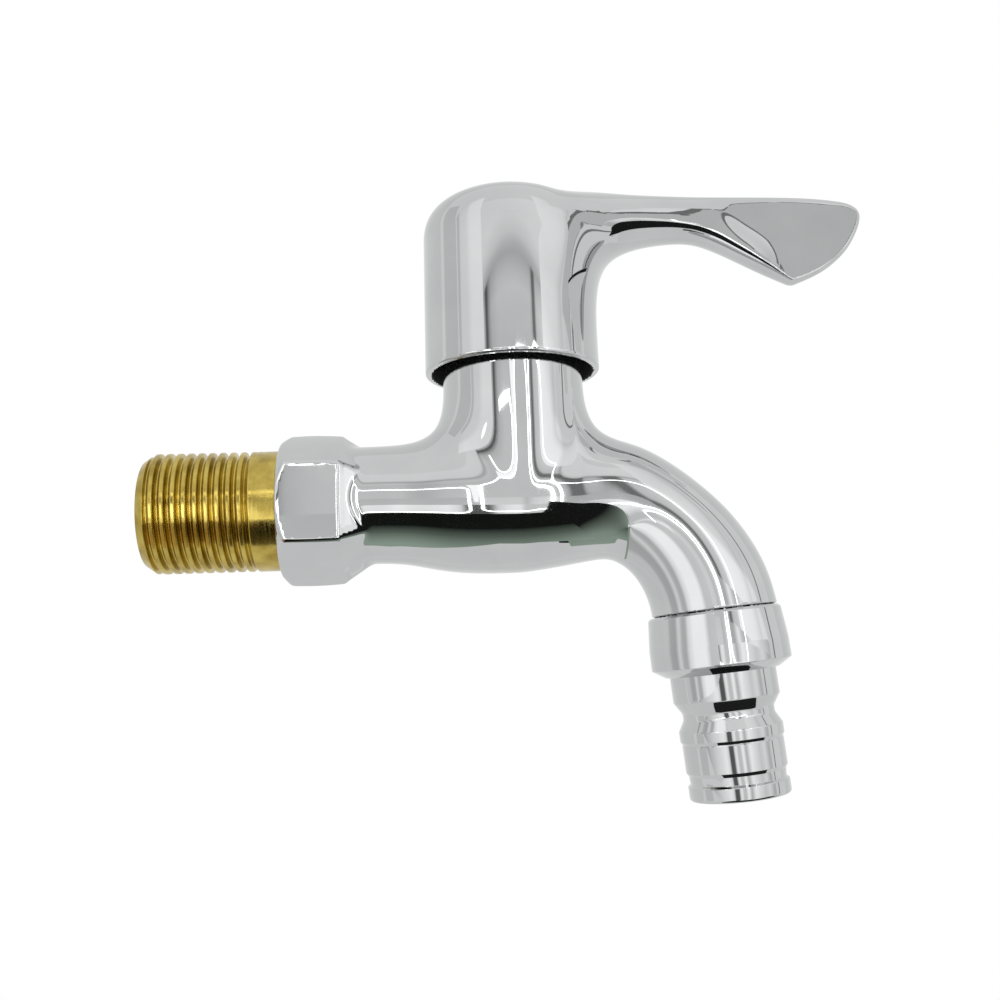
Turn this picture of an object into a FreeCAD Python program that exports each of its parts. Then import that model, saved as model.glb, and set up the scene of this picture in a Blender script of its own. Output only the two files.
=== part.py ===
import FreeCAD, Part
import math
import os

# Garden tap with a quarter-turn lever handle, a G1/2 inlet and a stepped hose nozzle.
# Millimetres. The origin is on the inlet axis, where the brass thread meets the hexagon.
# +X runs from the wall towards the spout, +Z is up and Y = 0 is the plane of symmetry.

# Fits
cast_gap = 0.03             # cast-in or bonded surfaces
thread_gap = 0.05           # threads, modelled as plain cylinders
running_gap = 0.05          # a shaft that turns in its bore
drop_in_gap = 0.10          # pieces laid in a recess
over = 1.0                  # how far a cutter passes through a face

# Inlet nipple, G1/2
inlet_thread_r = 10.4775
nipple_length = 23.2
nipple_bore_r = 7.0
nipple_lead = 1.3
nipple_lead_drop = 1.05
insert_r = 9.2
insert_length = 8.0

# Hexagon and its run-out
hex_flats = 23.2
hex_length = 10.6
hex_crown_r = 13.4          # corners turned down to this
hex_wall_chamfer = 1.6
hex_face_r = 11.5
cone_length = 4.2

# Main run: place and height of each section, its swelling from the waist to the belly
# under the neck, and how far the axis has turned down
column_x = 41.1
run_start_r = 10.3
run_waist_r = 10.0
belly_overlap = 0.15        # how far the belly stands outside the neck's root
run_sections = (
    (-23.7, 0.6, 0.17, 0.0),
    (-17.6, 0.5, 0.36, 0.0),
    (-11.1, 0.3, 0.86, 0.0),
    (-3.6, 0.1, 1.00, 0.0),
    (3.9, 0.1, 0.76, 0.0),
    (9.9, 0.4, 0.44, 6.0),
    (15.6, 0.9, 0.36, 14.0),
    (21.3, -1.2, 0.09, 26.0),
    (25.8, -4.4, 0.00, 38.0),
    (29.2, -8.0, 0.09, 50.0),
    (31.8, -12.1, 0.25, 61.0),
    (33.4, -16.2, 0.40, 74.0),
)

# Spout mouth and nozzle axis
mouth_x = 75.1
mouth_z = -19.9
mouth_r = 10.95
nozzle_lean = 5.0           # degrees from vertical, foot towards +X
spout_thread_r = 10.3
spout_thread_length = 6.0

# Neck
neck_wall = 2.3             # outside the headwork's thread
neck_top = 26.0
neck_root_taper = 0.55      # how much slimmer the neck is where it sinks into the run
neck_root_top = 14.0
crotch_r = 7.0              # hollow between the run and the neck on either side
crotch_left_z = 18.5
crotch_left_start = -90.0
crotch_left_start_r = 10.45
crotch_right_z = 19.3
crotch_right_start = -65.0
crotch_right_start_r = 10.5
crotch_steps = 6
skin = 0.12                 # how far the bends stay under the neck and the run
tail_tuck = 2.0             # how much smaller the bends' tails are than the run they sink into

# Waterways
seat_z = 5.0
inlet_way_r = 5.2
inlet_way_z = -2.0
pocket_r = 5.4
seat_hole_r = 4.6
pocket_floor = -5.5
outlet_way = (
    (3.9, 16.2, 4.9, 46.0),
    (14.9, 4.6, 4.9, 44.0),
    (21.3, -1.2, 5.5, 40.0),
    (25.8, -4.4, 5.9, 42.0),
    (29.2, -8.0, 6.1, 51.0),
    (31.8, -12.1, 6.3, 62.0),
    (33.4, -16.2, 6.4, 74.0),
)
spout_bore_r = 6.4

# Headwork
housing_thread_r = 10.15
housing_cage_r = 9.2
housing_foot = 0.3          # cage stays this far above the seat floor
thread_start = 12.5         # above the seat floor
gasket_thickness = 0.7
flange_overlap = 0.65       # how far the flange's flats stand outside the thread
flange_height = 5.0
turret_r = 7.6
turret_height = 4.8
turret_chamfer = 0.6
flange_corner_overlap = 1.85
flange_chamfer = 1.0
window_height = 5.0
window_width = 8.0
window_sill = 0.6           # above the lower disc
gasket_inset = 0.2
seal_r = 7.2
seal_hole_r = 4.8
seal_height = 2.0
seal_chamfer = 0.4
disc_r = 7.9
fixed_disc_height = 3.0
turning_disc_height = 2.6
carrier_height = 3.4
carrier_way = 1.1           # depth of the hollows in the carrier's foot
port_r = 6.6
port_inner_r = 1.6
port_sweep = 84.0           # degrees
lug_width = 2.4
lug_depth = 1.2
lug_reach = 0.9             # lugs stand out of the disc by this
notch_floor = 1.0           # height of the upper disc left under its notches

# Spindle
spindle_r = 4.2
spindle_head_r = 6.8
spindle_head_height = 1.6
thrust_height = 0.6
tongue_length = 9.0
tongue_width = 3.0
tongue_depth = 2.2
ring_section_r = 0.8
ring_heights = (4.5, 9.5)   # above the thrust face of the housing
ring_groove_width = 2.0
clip_r = 6.4
clip_thickness = 0.8
clip_neck_r = 3.4
clip_play = 0.3
clip_mouth = 5.1
screw_way = 1.0             # the screw's hole starts this far above the turret
spline_teeth = 20
spline_r = 4.0
spline_root_r = 3.6
spline_start = 39.0
spline_end = 46.6

# Handle
skirt_z = 23.8
skirt_gap = 1.9             # between the neck and the inside of the skirt
skirt_wall = 1.25
skirt_edge = 0.5
hub_shoulder_z = 48.0
hub_taper = 0.25
hub_top = 57.1
hub_crown = ((0.65, 52.2), (3.4, 55.1), (8.8, 56.8))    # inset from the shoulder, height
core_roof = 46.0
core_round = 2.0
boss_r = 8.8
boss_z = 38.0
socket_square = 11.6
socket_roof = 47.2
socket_corner = 1.5
adapter_lip = 0.5           # adapter's plain mouth below the splines
screw_r = 2.0
screw_head_r = 3.9
screw_head_height = 2.6
screw_head_chamfer = 0.8
screw_tip_z = 39.0
cross_length = 4.4
cross_width = 1.0
cross_depth = 1.3
screw_seat_z = 50.4
screw_recess_r = 4.4
cap_r = 5.8
cap_seat_z = 55.1

# Lever: underside and top edge of each section as places from the column and heights,
# then half widths near the bottom, at mid height and near the top
lever_sections = (
    ((4.9, 37.5), (4.9, 56.5), 12.2, 12.0, 8.2),
    ((16.6, 42.6), (16.4, 57.4), 9.2, 8.8, 6.0),
    ((21.6, 46.7), (21.9, 57.1), 7.5, 7.0, 4.8),
    ((28.9, 48.7), (29.9, 56.9), 5.9, 5.2, 3.9),
    ((36.9, 47.4), (39.9, 56.8), 4.7, 3.6, 2.9),
    ((44.4, 44.0), (49.9, 56.7), 3.6, 2.3, 2.0),
    ((50.9, 41.1), (59.9, 56.3), 2.4, 1.7, 1.5),
    ((54.7, 40.9), (64.7, 55.4), 1.6, 1.4, 1.3),
    ((59.7, 43.5), (66.5, 52.6), 1.0, 0.9, 0.9),
)
section_levels = (0.16, 0.52, 0.87)     # where the three half widths lie, from the bottom up

# Collar nut, along the nozzle axis from the spout mouth
collar_length = 10.6
collar_mouth_r = 11.6
collar_r = 12.15
collar_lip_r = 9.35
collar_face_r = 9.9
collar_mouth_chamfer = 0.4
collar_flare_end = 5.8
collar_chamfer = 1.4

# Nozzle, along the same axis
washer_height = 1.6
washer_hole_r = 6.6
flange_r = 10.0
nozzle_flange_height = 1.8
ring1_r = 9.2
ring1_end = 15.1
waist_r = 7.9
waist_start = 17.1
waist_end = 18.2
waist_round = 1.0
ring2_r = 8.95
ring2_start = 20.3
ring2_end = 23.0
tail_r = 8.7
tail_groove_r = 8.2
tail_groove_start = 28.2
tail_groove_end = 29.8
groove_slope = 0.4
nozzle_end = 31.9
nozzle_bore_r = 6.4
end_chamfer = 0.5
strainer_r = 7.9
strainer_height = 0.9
strainer_hole_r = 1.0
strainer_row_pitch = 2.9
strainer_row_count = 2

# Heights that follow from the stack on the seat, and radii that follow from the thread
seal_top = seat_z + seal_height
fixed_disc_top = seal_top + fixed_disc_height
turning_disc_top = fixed_disc_top + turning_disc_height
carrier_top = turning_disc_top + carrier_height
spindle_head_top = carrier_top + spindle_head_height
thrust_face = spindle_head_top + thrust_height
flange_z = neck_top + gasket_thickness
turret_z = flange_z + flange_height
turret_top = turret_z + turret_height
clip_z = turret_top + clip_play
chamber_r = housing_thread_r + thread_gap
neck_r = chamber_r + neck_wall
neck_root_r = neck_r - neck_root_taper
belly_r = neck_root_r + belly_overlap
skirt_inner_r = neck_r + skirt_gap
skirt_r = skirt_inner_r + skirt_wall
hub_shoulder_r = skirt_r - hub_taper
flange_flats = 2.0 * (housing_thread_r + flange_overlap)
flange_crown_r = housing_thread_r + flange_corner_overlap
washer_z = spout_thread_length
nozzle_z = washer_z + washer_height
lip_z = nozzle_z + nozzle_flange_height

X_AXIS = FreeCAD.Vector(1, 0, 0)
Y_AXIS = FreeCAD.Vector(0, 1, 0)
Z_AXIS = FreeCAD.Vector(0, 0, 1)
ORIGIN = FreeCAD.Vector(0, 0, 0)


def point(x, y, z):
    return FreeCAD.Vector(x, y, z)


def cylinder(radius, low, high, x=0.0):
    """Upright cylinder between two heights."""
    return Part.makeCylinder(radius, high - low, point(x, 0, low), Z_AXIS)


def rounded_outline(corners):
    """Closed outline in the XZ plane from (x, z) or (x, z, corner radius)."""
    spots = [point(c[0], 0, c[1]) for c in corners]
    rounds = [c[2] if len(c) > 2 else 0.0 for c in corners]
    count = len(spots)
    starts = []
    ends = []
    mids = []
    for i in range(count):
        here = spots[i]
        if rounds[i] <= 0.0:
            starts.append(here)
            ends.append(here)
            mids.append(None)
            continue
        back = (spots[i - 1] - here).normalize()
        ahead = (spots[(i + 1) % count] - here).normalize()
        half = back.getAngle(ahead) / 2.0
        reach = rounds[i] / math.tan(half)
        bisector = (back + ahead).normalize()
        starts.append(here + back * reach)
        ends.append(here + ahead * reach)
        mids.append(here + bisector * (rounds[i] / math.sin(half) - rounds[i]))
    edges = []
    for i in range(count):
        if mids[i] is not None:
            edges.append(Part.Arc(starts[i], mids[i], ends[i]).toShape())
        following = starts[(i + 1) % count]
        if ends[i].distanceToPoint(following) > 1e-6:
            edges.append(Part.LineSegment(ends[i], following).toShape())
    return Part.Wire(edges)


def turned(corners):
    """Solid of revolution about Z from an outline of (radius, height[, corner radius])."""
    return Part.Face(rounded_outline(corners)).revolve(ORIGIN, Z_AXIS, 360)


def ring(centre, along, radius):
    """Circle across a direction in the plane of symmetry, always starting on the +Y side."""
    wire = Part.Wire([Part.Circle(ORIGIN, Z_AXIS, radius).toShape()])
    wire.Placement = FreeCAD.Placement(centre, FreeCAD.Rotation(Y_AXIS, ORIGIN, along, "ZXY"))
    return wire


def ring_section(x, z, radius, fall):
    """Circle across an axis that has turned down by the angle fall."""
    along = point(math.cos(math.radians(fall)), 0, -math.sin(math.radians(fall)))
    return ring(point(x, 0, z), along, radius)


def hexagon_wire(across_flats, height):
    circle_r = across_flats / math.sqrt(3.0)
    spots = []
    for i in range(7):
        angle = math.radians(60.0 * i)
        spots.append(point(circle_r * math.cos(angle), circle_r * math.sin(angle), height))
    return Part.makePolygon(spots)


def hexagon_solid(low, high, flats_low, flats_high):
    """Six-sided solid about Z between two heights, straight or tapered."""
    return Part.makeLoft([hexagon_wire(flats_low, low), hexagon_wire(flats_high, high)], True, True)


def along_inlet(shape):
    """Lay a shape made about Z along +X; its local X then points down."""
    shape.Placement = FreeCAD.Placement(ORIGIN, FreeCAD.Rotation(Y_AXIS, 90))
    return shape


def on_column(shape):
    shape.translate(point(column_x, 0, 0))
    return shape


def on_nozzle(shape):
    """Set a shape made about Z on the nozzle axis, its Z running down from the spout mouth."""
    turn = FreeCAD.Rotation(Y_AXIS, 180.0 - nozzle_lean)
    shape.Placement = FreeCAD.Placement(point(mouth_x, 0, mouth_z), turn)
    return shape


def hexagon():
    """Spanner hexagon, corners up and down, with its chamfer and run-out to the run."""
    cone_end = hex_length + cone_length
    prism = hexagon_solid(0.0, hex_length, hex_flats, hex_flats)
    taper = hexagon_solid(hex_length, cone_end, hex_flats, 2.0 * run_start_r)
    blank = prism.fuse(taper)
    crown = turned((
        (0.0, 0.0),
        (hex_face_r, 0.0),
        (hex_crown_r, hex_wall_chamfer),
        (hex_crown_r, hex_length),
        (run_start_r, cone_end),
        (0.0, cone_end),
    ))
    return along_inlet(blank.common(crown))


def run_rows():
    """Sections of the run with their radii."""
    swelling = belly_r - run_waist_r
    return [(offset, z, run_waist_r + swell * swelling, fall) for offset, z, swell, fall in run_sections]


def main_run():
    """Swelling run and swept spout as one skin through its sections."""
    rings = [ring_section(hex_length - over, 0.0, run_start_r, 0.0)]
    for offset, z, radius, fall in run_rows():
        rings.append(ring_section(column_x + offset, z, radius, fall))
    rings.append(ring_section(mouth_x, mouth_z, mouth_r, 90.0 - nozzle_lean))
    return Part.makeLoft(rings, True, False)


def crotch_branch(side, height, start_deg, start_r, tail_sections):
    """Bend from the run up into the neck; side is -1 towards the wall, 1 towards the spout."""
    centre_x = column_x + side * (crotch_r + neck_r)
    rings = []
    for offset, z, radius, fall in tail_sections:
        heading = fall if side < 0 else fall + 180.0
        lift_x = tail_tuck * math.sin(math.radians(fall))
        lift_z = tail_tuck * math.cos(math.radians(fall))
        rings.append(ring_section(column_x + offset + lift_x, z + lift_z, radius - skin - tail_tuck, heading))
    for i in range(crotch_steps + 1):
        share = i / crotch_steps
        angle = math.radians(start_deg * (1.0 - share))
        radius = start_r + (neck_r - start_r) * share - skin
        reach = crotch_r + skin + radius
        centre = point(centre_x - side * reach * math.cos(angle), 0, height + reach * math.sin(angle))
        normal = point(side * math.sin(angle), 0, math.cos(angle))
        rings.append(ring(centre, normal, radius))
    rings.append(ring(point(column_x, 0, neck_top - 2.0 * over), Z_AXIS, neck_r - skin))
    return Part.makeLoft(rings, True, False)


def body_blank():
    """Outer form of the casting."""
    neck = on_column(turned((
        (0.0, -over),
        (neck_root_r, -over),
        (neck_r, neck_root_top),
        (neck_r, neck_top),
        (0.0, neck_top),
    )))
    left = crotch_branch(-1, crotch_left_z, crotch_left_start, crotch_left_start_r, run_rows()[:1])
    right = crotch_branch(1, crotch_right_z, crotch_right_start, crotch_right_start_r, run_rows()[8:6:-1])
    blank = main_run().fuse([neck, left, right, hexagon()])
    tail = on_nozzle(cylinder(spout_thread_r, -over, spout_thread_length))
    return blank.fuse(tail)


def nozzle_ring(depth, radius):
    """Circle on the nozzle axis at a depth below the spout mouth."""
    lean = math.radians(nozzle_lean)
    centre = point(mouth_x + depth * math.sin(lean), 0, mouth_z - depth * math.cos(lean))
    return ring(centre, point(math.sin(lean), 0, -math.cos(lean)), radius)


def body_waterways():
    """Hollows of the casting: inlet socket, inlet way, seat pocket, chamber and outlet."""
    socket = along_inlet(cylinder(insert_r + cast_gap, -over, insert_length + cast_gap))
    way = Part.makeCylinder(inlet_way_r, column_x - insert_length, point(insert_length, 0, inlet_way_z), X_AXIS)
    pocket = cylinder(pocket_r, pocket_floor, inlet_way_z + inlet_way_r, column_x)
    seat_hole = cylinder(seat_hole_r, pocket_floor + over, seat_z + over, column_x)
    chamber = cylinder(chamber_r, seat_z, neck_top + over, column_x)
    rings = []
    for offset, z, radius, fall in outlet_way:
        rings.append(ring_section(column_x + offset, z, radius, fall))
    rings.append(nozzle_ring(0.0, spout_bore_r))
    rings.append(nozzle_ring(spout_thread_length + over, spout_bore_r))
    outlet = Part.makeLoft(rings, True, False)
    return socket.fuse([way, pocket, seat_hole, chamber, outlet])


def tap_body():
    return body_blank().cut(body_waterways())


def inlet_nipple():
    """Brass inlet with its threaded length as a plain cylinder of the major diameter."""
    blank = turned((
        (nipple_bore_r, -nipple_length),
        (inlet_thread_r - nipple_lead_drop, -nipple_length),
        (inlet_thread_r, -nipple_length + nipple_lead),
        (inlet_thread_r, 0.0),
        (insert_r, 0.0),
        (insert_r, insert_length),
        (nipple_bore_r, insert_length),
    ))
    return along_inlet(blank)


def sector(radius, inner_r, sweep, start, low, high):
    pie = Part.makeCylinder(radius, high - low, point(0, 0, low), Z_AXIS, sweep)
    pie.rotate(ORIGIN, Z_AXIS, start)
    return pie.cut(cylinder(inner_r, low - over, high + over))


def two_ports(low, high, middle):
    """Pair of opposite ports, each centred on a direction."""
    first = sector(port_r, port_inner_r, port_sweep, middle - port_sweep / 2.0, low, high)
    second = first.copy()
    second.rotate(ORIGIN, Z_AXIS, 180)
    return first.fuse(second)


def lug_bar(width, low, high, inner):
    """Two opposite bars along X, from an inner radius outwards."""
    bars = []
    for side in (1, -1):
        start = inner if side > 0 else -inner - 2.0 * lug_depth
        bars.append(Part.makeBox(2.0 * lug_depth, width, high - low, point(start, -width / 2.0, low)))
    return bars[0].fuse(bars[1])


def headwork_housing():
    """Brass housing: windowed cage, thread, spanner flange and turret for the spindle."""
    shell = turned((
        (disc_r + drop_in_gap, seat_z + housing_foot),
        (housing_cage_r, seat_z + housing_foot),
        (housing_cage_r, seat_z + thread_start),
        (housing_thread_r, seat_z + thread_start),
        (housing_thread_r, flange_z),
        (turret_r, flange_z),
        (turret_r, turret_top - turret_chamfer),
        (turret_r - turret_chamfer, turret_top),
        (spindle_r + running_gap, turret_top),
        (spindle_r + running_gap, thrust_face),
        (disc_r + drop_in_gap, thrust_face),
    ))
    flange = hexagon_solid(flange_z, turret_z, flange_flats, flange_flats)
    crown = turned((
        (0.0, flange_z),
        (flange_crown_r, flange_z),
        (flange_crown_r, turret_z - flange_chamfer),
        (flange_flats / 2.0, turret_z),
        (0.0, turret_z),
    ))
    spanner_part = flange.common(crown)
    spindle_way = cylinder(spindle_r + running_gap, flange_z - over, turret_z + over)
    window = Part.makeBox(4.0 * housing_cage_r, window_width, window_height,
                          point(-2.0 * housing_cage_r, -window_width / 2.0, fixed_disc_top + window_sill))
    window.rotate(ORIGIN, Z_AXIS, 90)
    cage_slot = lug_bar(lug_width + 2.0 * drop_in_gap, seat_z, fixed_disc_top, disc_r - lug_depth)
    return on_column(shell.fuse(spanner_part).cut(window.fuse([cage_slot, spindle_way])))


def housing_gasket():
    return on_column(turned((
        (housing_thread_r + drop_in_gap, neck_top),
        (neck_r - gasket_inset, neck_top),
        (neck_r - gasket_inset, flange_z),
        (housing_thread_r + drop_in_gap, flange_z),
    )))


def seat_seal():
    return on_column(turned((
        (seal_hole_r, seat_z),
        (seal_r - seal_chamfer, seat_z),
        (seal_r, seat_z + seal_chamfer),
        (seal_r, seal_top - seal_chamfer),
        (seal_r - seal_chamfer, seal_top),
        (seal_hole_r, seal_top),
    )))


def fixed_disc():
    """Lower ceramic disc, held by two lugs in the cage, ports across the tap."""
    blank = cylinder(disc_r, seal_top, fixed_disc_top)
    lugs = lug_bar(lug_width, seal_top, fixed_disc_top, disc_r - lug_depth)
    lugs = lugs.common(cylinder(disc_r + lug_reach, seal_top, fixed_disc_top))
    return on_column(blank.fuse(lugs).cut(two_ports(seal_top - over, fixed_disc_top + over, 90.0)))


def rotating_disc():
    """Upper ceramic disc, a quarter turn away when the tap is shut."""
    blank = cylinder(disc_r - drop_in_gap, fixed_disc_top, turning_disc_top)
    ports = two_ports(fixed_disc_top - over, turning_disc_top + over, 0.0)
    notch = lug_bar(lug_width + 2.0 * drop_in_gap, fixed_disc_top + notch_floor, turning_disc_top + over,
                    disc_r - lug_depth)
    notch.rotate(ORIGIN, Z_AXIS, 90)
    return on_column(blank.cut(ports.fuse(notch)))


def disc_carrier():
    """Carrier between the spindle's tongue and the upper disc."""
    radius = disc_r - drop_in_gap
    blank = cylinder(radius, turning_disc_top, carrier_top)
    lugs = lug_bar(lug_width, fixed_disc_top + notch_floor + drop_in_gap, turning_disc_top,
                   disc_r - lug_depth + drop_in_gap)
    lugs.rotate(ORIGIN, Z_AXIS, 90)
    lugs = lugs.common(cylinder(radius, fixed_disc_top, carrier_top))
    ports = two_ports(turning_disc_top - over, turning_disc_top + carrier_way, 0.0)
    slot = Part.makeBox(tongue_length + 2.0 * drop_in_gap, tongue_width + 2.0 * drop_in_gap, tongue_depth + over,
                        point(-tongue_length / 2.0 - drop_in_gap, -tongue_width / 2.0 - drop_in_gap,
                              carrier_top - tongue_depth - drop_in_gap))
    slot.rotate(ORIGIN, Z_AXIS, 90)
    return on_column(blank.fuse(lugs).cut(ports.fuse(slot)))


def spline_prism(tip_r, root_r, low, high):
    """Toothed prism for the spindle's head and for the bore that takes it."""
    spots = []
    pitch = 360.0 / spline_teeth
    for i in range(spline_teeth):
        for share, radius in ((0.0, root_r), (0.2, root_r), (0.45, tip_r), (0.75, tip_r)):
            angle = math.radians(pitch * (i + share))
            spots.append(point(radius * math.cos(angle), radius * math.sin(angle), low))
    spots.append(spots[0])
    return Part.Face(Part.makePolygon(spots)).extrude(point(0, 0, high - low))


def ring_middle_r():
    return spindle_r + running_gap / 2.0 - ring_section_r


def groove_band(outer_r, inner_r, low, high):
    """Band that cuts a groove round a shaft or leaves a flat ring."""
    return cylinder(outer_r, low, high).cut(cylinder(inner_r, low - over, high + over))


def spindle():
    """Spindle with tongue, thrust head, two ring grooves, clip groove and splined end."""
    shank = turned((
        (0.0, carrier_top),
        (spindle_head_r, carrier_top),
        (spindle_head_r, spindle_head_top),
        (spindle_r, spindle_head_top),
        (spindle_r, spline_start),
        (spline_root_r, spline_start),
        (spline_root_r, spline_end),
        (0.0, spline_end),
    ))
    teeth = spline_prism(spline_r, spline_root_r, spline_start, spline_end)
    tongue = Part.makeBox(tongue_length, tongue_width, tongue_depth,
                          point(-tongue_length / 2.0, -tongue_width / 2.0, carrier_top - tongue_depth))
    tongue.rotate(ORIGIN, Z_AXIS, 90)
    cuts = []
    groove_r = ring_middle_r() - ring_section_r - drop_in_gap / 2.0
    for rise in ring_heights:
        low = thrust_face + rise - ring_groove_width / 2.0
        cuts.append(groove_band(spindle_r + over, groove_r, low, low + ring_groove_width))
    clip_low = clip_z - thread_gap
    clip_high = clip_z + clip_thickness + thread_gap
    cuts.append(groove_band(spindle_r + over, clip_neck_r, clip_low, clip_high))
    cuts.append(cylinder(screw_r + thread_gap, turret_top + screw_way, spline_end + over))
    return on_column(shank.fuse([teeth, tongue]).cut(cuts[0].fuse(cuts[1:])))


def spindle_o_ring(rise):
    return on_column(Part.makeTorus(ring_middle_r(), ring_section_r, point(0, 0, thrust_face + rise), Z_AXIS))


def thrust_washer():
    return on_column(turned((
        (spindle_r + drop_in_gap, spindle_head_top),
        (spindle_head_r, spindle_head_top),
        (spindle_head_r, thrust_face),
        (spindle_r + drop_in_gap, thrust_face),
    )))


def spindle_clip():
    """Open spring clip in the groove above the turret."""
    flat_ring = groove_band(clip_r, clip_neck_r + drop_in_gap, clip_z, clip_z + clip_thickness)
    mouth = Part.makeBox(2.0 * clip_r, clip_mouth, clip_thickness + 2.0 * over,
                         point(0, -clip_mouth / 2.0, clip_z - over))
    return on_column(flat_ring.cut(mouth))


def hub_blank():
    """Skirt and crown of the handle."""
    low = [
        Part.LineSegment(point(0, 0, skirt_z), point(skirt_r - skirt_edge, 0, skirt_z)).toShape(),
        Part.LineSegment(point(skirt_r - skirt_edge, 0, skirt_z),
                         point(skirt_r, 0, skirt_z + skirt_edge)).toShape(),
        Part.LineSegment(point(skirt_r, 0, skirt_z + skirt_edge),
                         point(hub_shoulder_r, 0, hub_shoulder_z)).toShape(),
    ]
    crown = Part.BSplineCurve()
    spots = [point(hub_shoulder_r, 0, hub_shoulder_z)]
    spots += [point(hub_shoulder_r - inset, 0, height) for inset, height in hub_crown]
    spots.append(point(0, 0, hub_top))
    crown.interpolate(Points=spots, InitialTangent=point(-0.01, 0, 1), FinalTangent=point(-1, 0, 0))
    close = Part.LineSegment(point(0, 0, hub_top), point(0, 0, skirt_z)).toShape()
    face = Part.Face(Part.Wire(low + [crown.toShape(), close]))
    return on_column(face.revolve(ORIGIN, Z_AXIS, 360))


def lever_ring(bottom, top, low_half, mid_half, high_half):
    """Smooth closed section standing on a slanted line from the underside to the top edge."""
    foot = point(column_x + bottom[0], 0, bottom[1])
    head = point(column_x + top[0], 0, top[1])
    rise = head - foot
    spots = [foot]
    halves = (low_half, mid_half, high_half)
    for level, half in zip(section_levels, halves):
        spots.append(foot + rise * level + point(0, -half, 0))
    spots.append(head)
    for level, half in reversed(list(zip(section_levels, halves))):
        spots.append(foot + rise * level + point(0, half, 0))
    curve = Part.BSplineCurve()
    curve.interpolate(Points=spots, PeriodicFlag=True)
    return Part.Wire([curve.toShape()])


def lever_blank():
    return Part.makeLoft([lever_ring(*row) for row in lever_sections], True, False)


def handle_outside():
    return hub_blank().fuse(lever_blank())


def socket_block(side, low, high, corner):
    """Square block with rounded corners for the adapter and its socket."""
    block = Part.makeBox(side, side, high - low, point(-side / 2.0, -side / 2.0, low))
    upright = [edge for edge in block.Edges if abs(edge.Vertexes[0].Z - edge.Vertexes[1].Z) > 1e-6]
    return block.makeFillet(corner, upright)


def handle():
    """Zinc handle: hub and lever, cored under the crown round a square socket boss."""
    core = turned((
        (0.0, skirt_z - over),
        (skirt_inner_r, skirt_z - over),
        (skirt_inner_r, core_roof, core_round),
        (boss_r, core_roof, core_round),
        (boss_r, boss_z),
        (0.0, boss_z),
    ))
    socket = socket_block(socket_square, boss_z - over, socket_roof, socket_corner)
    hole = cylinder(screw_r + 2.0 * drop_in_gap, socket_roof - over, screw_seat_z + over)
    recess = cylinder(screw_recess_r, screw_seat_z, hub_top + over)
    cap_seat = cylinder(cap_r + drop_in_gap, cap_seat_z, hub_top + over)
    hollow = on_column(core.fuse([socket, hole, recess, cap_seat]))
    return handle_outside().cut(hollow)


def spline_adapter():
    """Nylon adapter between the splined spindle and the handle's square socket."""
    block = socket_block(socket_square - 2.0 * drop_in_gap, spline_start - adapter_lip, socket_roof, socket_corner)
    bore = spline_prism(spline_r + drop_in_gap, spline_root_r + drop_in_gap, spline_start - over, socket_roof + over)
    mouth = cylinder(spindle_r + drop_in_gap, spline_start - over, spline_start)
    return on_column(block.cut(bore.fuse(mouth)))


def handle_screw():
    """Pan head screw with a cross recess, down the axis into the spindle."""
    head = turned((
        (0.0, screw_seat_z),
        (screw_head_r, screw_seat_z),
        (screw_head_r, screw_seat_z + screw_head_height - screw_head_chamfer),
        (screw_head_r - screw_head_chamfer, screw_seat_z + screw_head_height),
        (0.0, screw_seat_z + screw_head_height),
    ))
    shank = cylinder(screw_r, screw_tip_z, screw_seat_z)
    cross_floor = screw_seat_z + screw_head_height - cross_depth
    bars = []
    for turn in (0, 90):
        bar = Part.makeBox(cross_length, cross_width, cross_depth + over,
                           point(-cross_length / 2.0, -cross_width / 2.0, cross_floor))
        bar.rotate(ORIGIN, Z_AXIS, turn)
        bars.append(bar)
    return on_column(head.fuse(shank).cut(bars[0].fuse(bars[1])))


def screw_cap():
    """Cap over the screw, its top following the crown of the handle."""
    plug = cylinder(cap_r, cap_seat_z, hub_top + over, column_x)
    return plug.common(handle_outside())


def collar_nut():
    return on_nozzle(turned((
        (spout_thread_r + thread_gap, 0.0),
        (collar_mouth_r - collar_mouth_chamfer, 0.0),
        (collar_mouth_r, collar_mouth_chamfer),
        (collar_r, collar_flare_end),
        (collar_r, collar_length - collar_chamfer),
        (collar_face_r, collar_length),
        (collar_lip_r, collar_length),
        (collar_lip_r, lip_z),
        (spout_thread_r + thread_gap, lip_z),
    )))


def nozzle_washer():
    return on_nozzle(turned((
        (washer_hole_r, washer_z),
        (flange_r, washer_z),
        (flange_r, nozzle_z),
        (washer_hole_r, nozzle_z),
    )))


def outlet_strainer():
    """Perforated disc laid in the head of the nozzle."""
    disc = cylinder(strainer_r, nozzle_z, nozzle_z + strainer_height)
    holes = []
    for row in range(strainer_row_count):
        count = max(1, 6 * row)
        reach = row * strainer_row_pitch
        for i in range(count):
            angle = 2.0 * math.pi * i / count
            hole = cylinder(strainer_hole_r, nozzle_z - over, nozzle_z + strainer_height + over)
            hole.translate(point(reach * math.cos(angle), reach * math.sin(angle), 0))
            holes.append(hole)
    return on_nozzle(disc.cut(holes[0].fuse(holes[1:])))


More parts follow.
